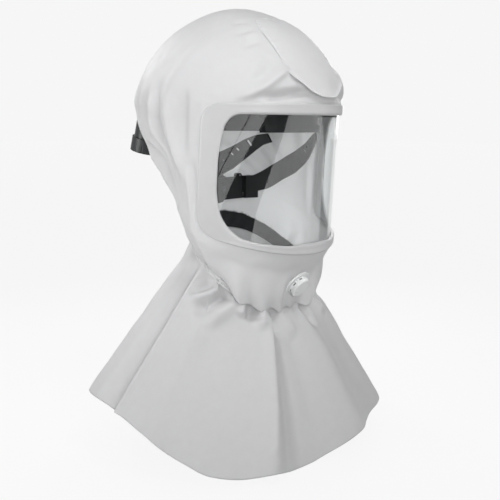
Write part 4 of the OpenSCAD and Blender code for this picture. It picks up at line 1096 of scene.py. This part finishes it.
SKY_SHARE = 0.33  # how much of the pale surround's brightness lights the object
CARD_GLOW = 1.1  # brightness of the white cards
CARD_FAR = 850.0  # from the middle of the head, in millimetres, like their edges
CARD_TOP, CARD_FOOT = 30, -352


def card_finish(name, colour, glow):
    """Studio card: painted board that is seen only as a reflection."""
    made, _, bsdf, _ = material(name, colour, 0.9)
    bsdf.inputs["Emission Color"].default_value = linear("#FFFFFF")
    bsdf.inputs["Emission Strength"].default_value = glow
    return made


def build_card(name, left, right, finish):
    """Curved card round the front of the object, between two edges of (degrees, height in mm)."""
    rows, cols = 24, 12
    heights = np.linspace(CARD_TOP, CARD_FOOT, rows)
    edges = [curve_through([-z for _, z in edge], [d for d, _ in edge])(-heights) for edge in (left, right)]
    turn = np.radians([mix(edges[0], edges[1], k) for k in np.linspace(0, 1, cols)]).T
    tall = np.repeat(heights[:, None], cols, 1)
    points = np.stack([CARD_FAR * np.sin(turn), -CARD_FAR * np.cos(turn), tall], -1).reshape(-1, 3)
    mesh = bpy.data.meshes.new(name)
    mesh.from_pydata((points * MM).tolist(), [], grid_quads(rows, cols, False))
    mesh.materials.append(finish)
    card = new_object(name, mesh)
    for way in ("camera", "diffuse", "transmission", "volume_scatter", "shadow"):
        setattr(card, "visible_" + way, False)
    card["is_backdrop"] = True


def build_cards():
    """White cards give the visor its light veils, dark ones its clear slit and gap, a grey one its end."""
    bright = card_finish("white_reflector_board", "#FFFFFF", CARD_GLOW)
    dark = card_finish("black_flag_board", "#050505", 0.0)
    start = [(-88, CARD_TOP), (-88, CARD_FOOT)]
    slit = [(-20, CARD_TOP), (-54, -71), (-77.3, -139), (-87, -170), (-87.5, CARD_FOOT)]
    slit_end = [(d + 1.6, z) for d, z in slit]
    gap_from = [(-2, CARD_TOP), (-31.6, -71), (-46.5, -116), (-71.6, -206), (-85, -260), (-86, CARD_FOOT)]
    gap_to = [(8, CARD_TOP), (-2.1, -68), (-19.9, -172), (-33.9, -254), (-39, -325), (-41, CARD_FOOT)]
    end = [(44, CARD_TOP), (51, -41), (60.4, -124), (61, CARD_FOOT)]
    far = [(88, CARD_TOP), (88, CARD_FOOT)]
    build_card("card_left", start, slit, bright)
    build_card("card_slit", slit, slit_end, dark)
    build_card("card_middle", slit_end, gap_from, bright)
    build_card("card_gap", gap_from, gap_to, dark)
    build_card("card_right", gap_to, end, bright)
    build_card("card_far", end, far, card_finish("grey_flag_board", "#3A3A3A", 0.22))


FLOOR_HALF = 14.0  # half the floor's width, in metres
FLOOR_GAP = 0.0005  # from the object's lowest point down to the floor, in metres


def build_studio(paper):
    """Wide pale floor just under the object, and an even pale surround."""
    floor_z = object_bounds()[0].z - FLOOR_GAP
    mesh = bpy.data.meshes.new("floor")
    work = bmesh.new()
    bmesh.ops.create_grid(work, x_segments=8, y_segments=8, size=FLOOR_HALF)
    work.to_mesh(mesh)
    work.free()
    mesh.materials.append(paper)
    floor = new_object("floor", mesh)
    floor.location = (0, 0, floor_z)
    floor.visible_diffuse = False
    floor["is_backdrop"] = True
    world = bpy.data.worlds.new("studio_air")
    bpy.context.scene.world = world
    world.use_nodes = True
    tree = world.node_tree
    sky = tree.nodes["Background"]
    sky.inputs["Color"].default_value = linear("#F6F6F6")
    ray = add(tree, "ShaderNodeLightPath")
    share = add(tree, "ShaderNodeMapRange",
                {"Value": ray.outputs["Is Camera Ray"], "To Min": SKY_SHARE, "To Max": 1.0})
    tree.links.new(share.outputs[0], sky.inputs["Strength"])


def build_all():
    """The object's materials and cloth, then the studio round it."""
    build_camera()
    cloth = laminate_cloth("laminated_spunbond_cloth", "#F4F4F5", "#EDEDEE", 0.47)
    # painted shade: the cape's greyer colours stand for the shade it gets lower down and under the hood
    shaded_cape_cloth = laminate_cloth("heavy_spunbond_painted_shade", "#DBDBDC", "#D3D3D4", 0.22)
    tape = binding_tape()
    knit = black_knit()
    thread = spun_thread()
    finishes = {
        "hood_cloth": cloth,
        "frame_band": tape,
        "lens": visor_film(),
        "elastic": braided_elastic(),
        "seal_knit": knit,
        "dark_plastic": moulded("moulded_black_nylon", "#1D1E20", "#161718", 0.46, 0.5, 0.06,
                                30.0, Specular_IOR_Level=0.2),
        "rack_plastic": moulded("moulded_acetal", "#3E4042", "#343638", 0.3, 0.8, 0.02),
        "foam": cut_foam(),
        "steel": zinc_steel(),
        "duct_plastic": moulded("blown_black_polyethylene", "#2C2E30", "#232527", 0.4, 1.2, 0.05),
        "inlet_plastic": moulded("glass_filled_nylon", "#2E3032", "#232527", 0.36, 0.6, 0.06),
        "rubber_black": soft_rubber("moulded_black_rubber", "#1E1F20", "#2A2B2C", 0.7),
        "valve_plastic": moulded("moulded_white_polypropylene", "#F0F1F1", "#E6E8E8", 0.34, 0.5, 0.03,
                                 18.0, Subsurface_Weight=0.1, Subsurface_Scale=0.002,
                                 Subsurface_Radius=(1, 1, 1)),
        "valve_silicone": soft_rubber("cast_clear_silicone", "#D9DDDF", "#CBD0D3", 0.4,
                                      Subsurface_Weight=0.3, Subsurface_Scale=0.003,
                                      Subsurface_Radius=(1, 1, 1)),
    }
    finish_nodes(finishes)
    hood_points, hood_out, levels = build_hood(cloth)
    flap_points, flap_normal = build_flap(cloth)
    build_band(tape)
    build_casing(cloth)
    build_seal(knit)
    build_cape("cape_front_cloth", "cape_front", -97, 97, FRONT_WAVE, NECK_FOLDS, 1.2, shaded_cape_cloth)
    build_cape("cape_back_cloth", "cape_back", 83, 277, BACK_WAVE, (), -2.5, shaded_cape_cloth)
    flap_seams(flap_points, flap_normal, thread)
    hood_seam(hood_points, hood_out, levels, thread)
    build_studio(studio_sweep())
    build_cards()
    build_light("key", -116, 6, 1.35, (0.6, 0.6), 1.4, 66, (0, 0, 0.0))
    build_light("front", -38, 6, 1.45, (0.6, 0.5), 1.5, 72, (0, 0, 0.02))
    build_light("top", -12, 48, 1.15, (0.5, 0.5), 0.78, 52, (0, 0, 0.12))
    build_light("back", 172, 24, 1.5, (0.6, 0.6), 1.7, 80, (0, 0, -0.04))
    build_light("far", 118, 12, 1.45, (0.6, 0.6), 1.1, 72, (0, 0, -0.05))
    bpy.context.scene.view_settings.view_transform = "Standard"


build_all()
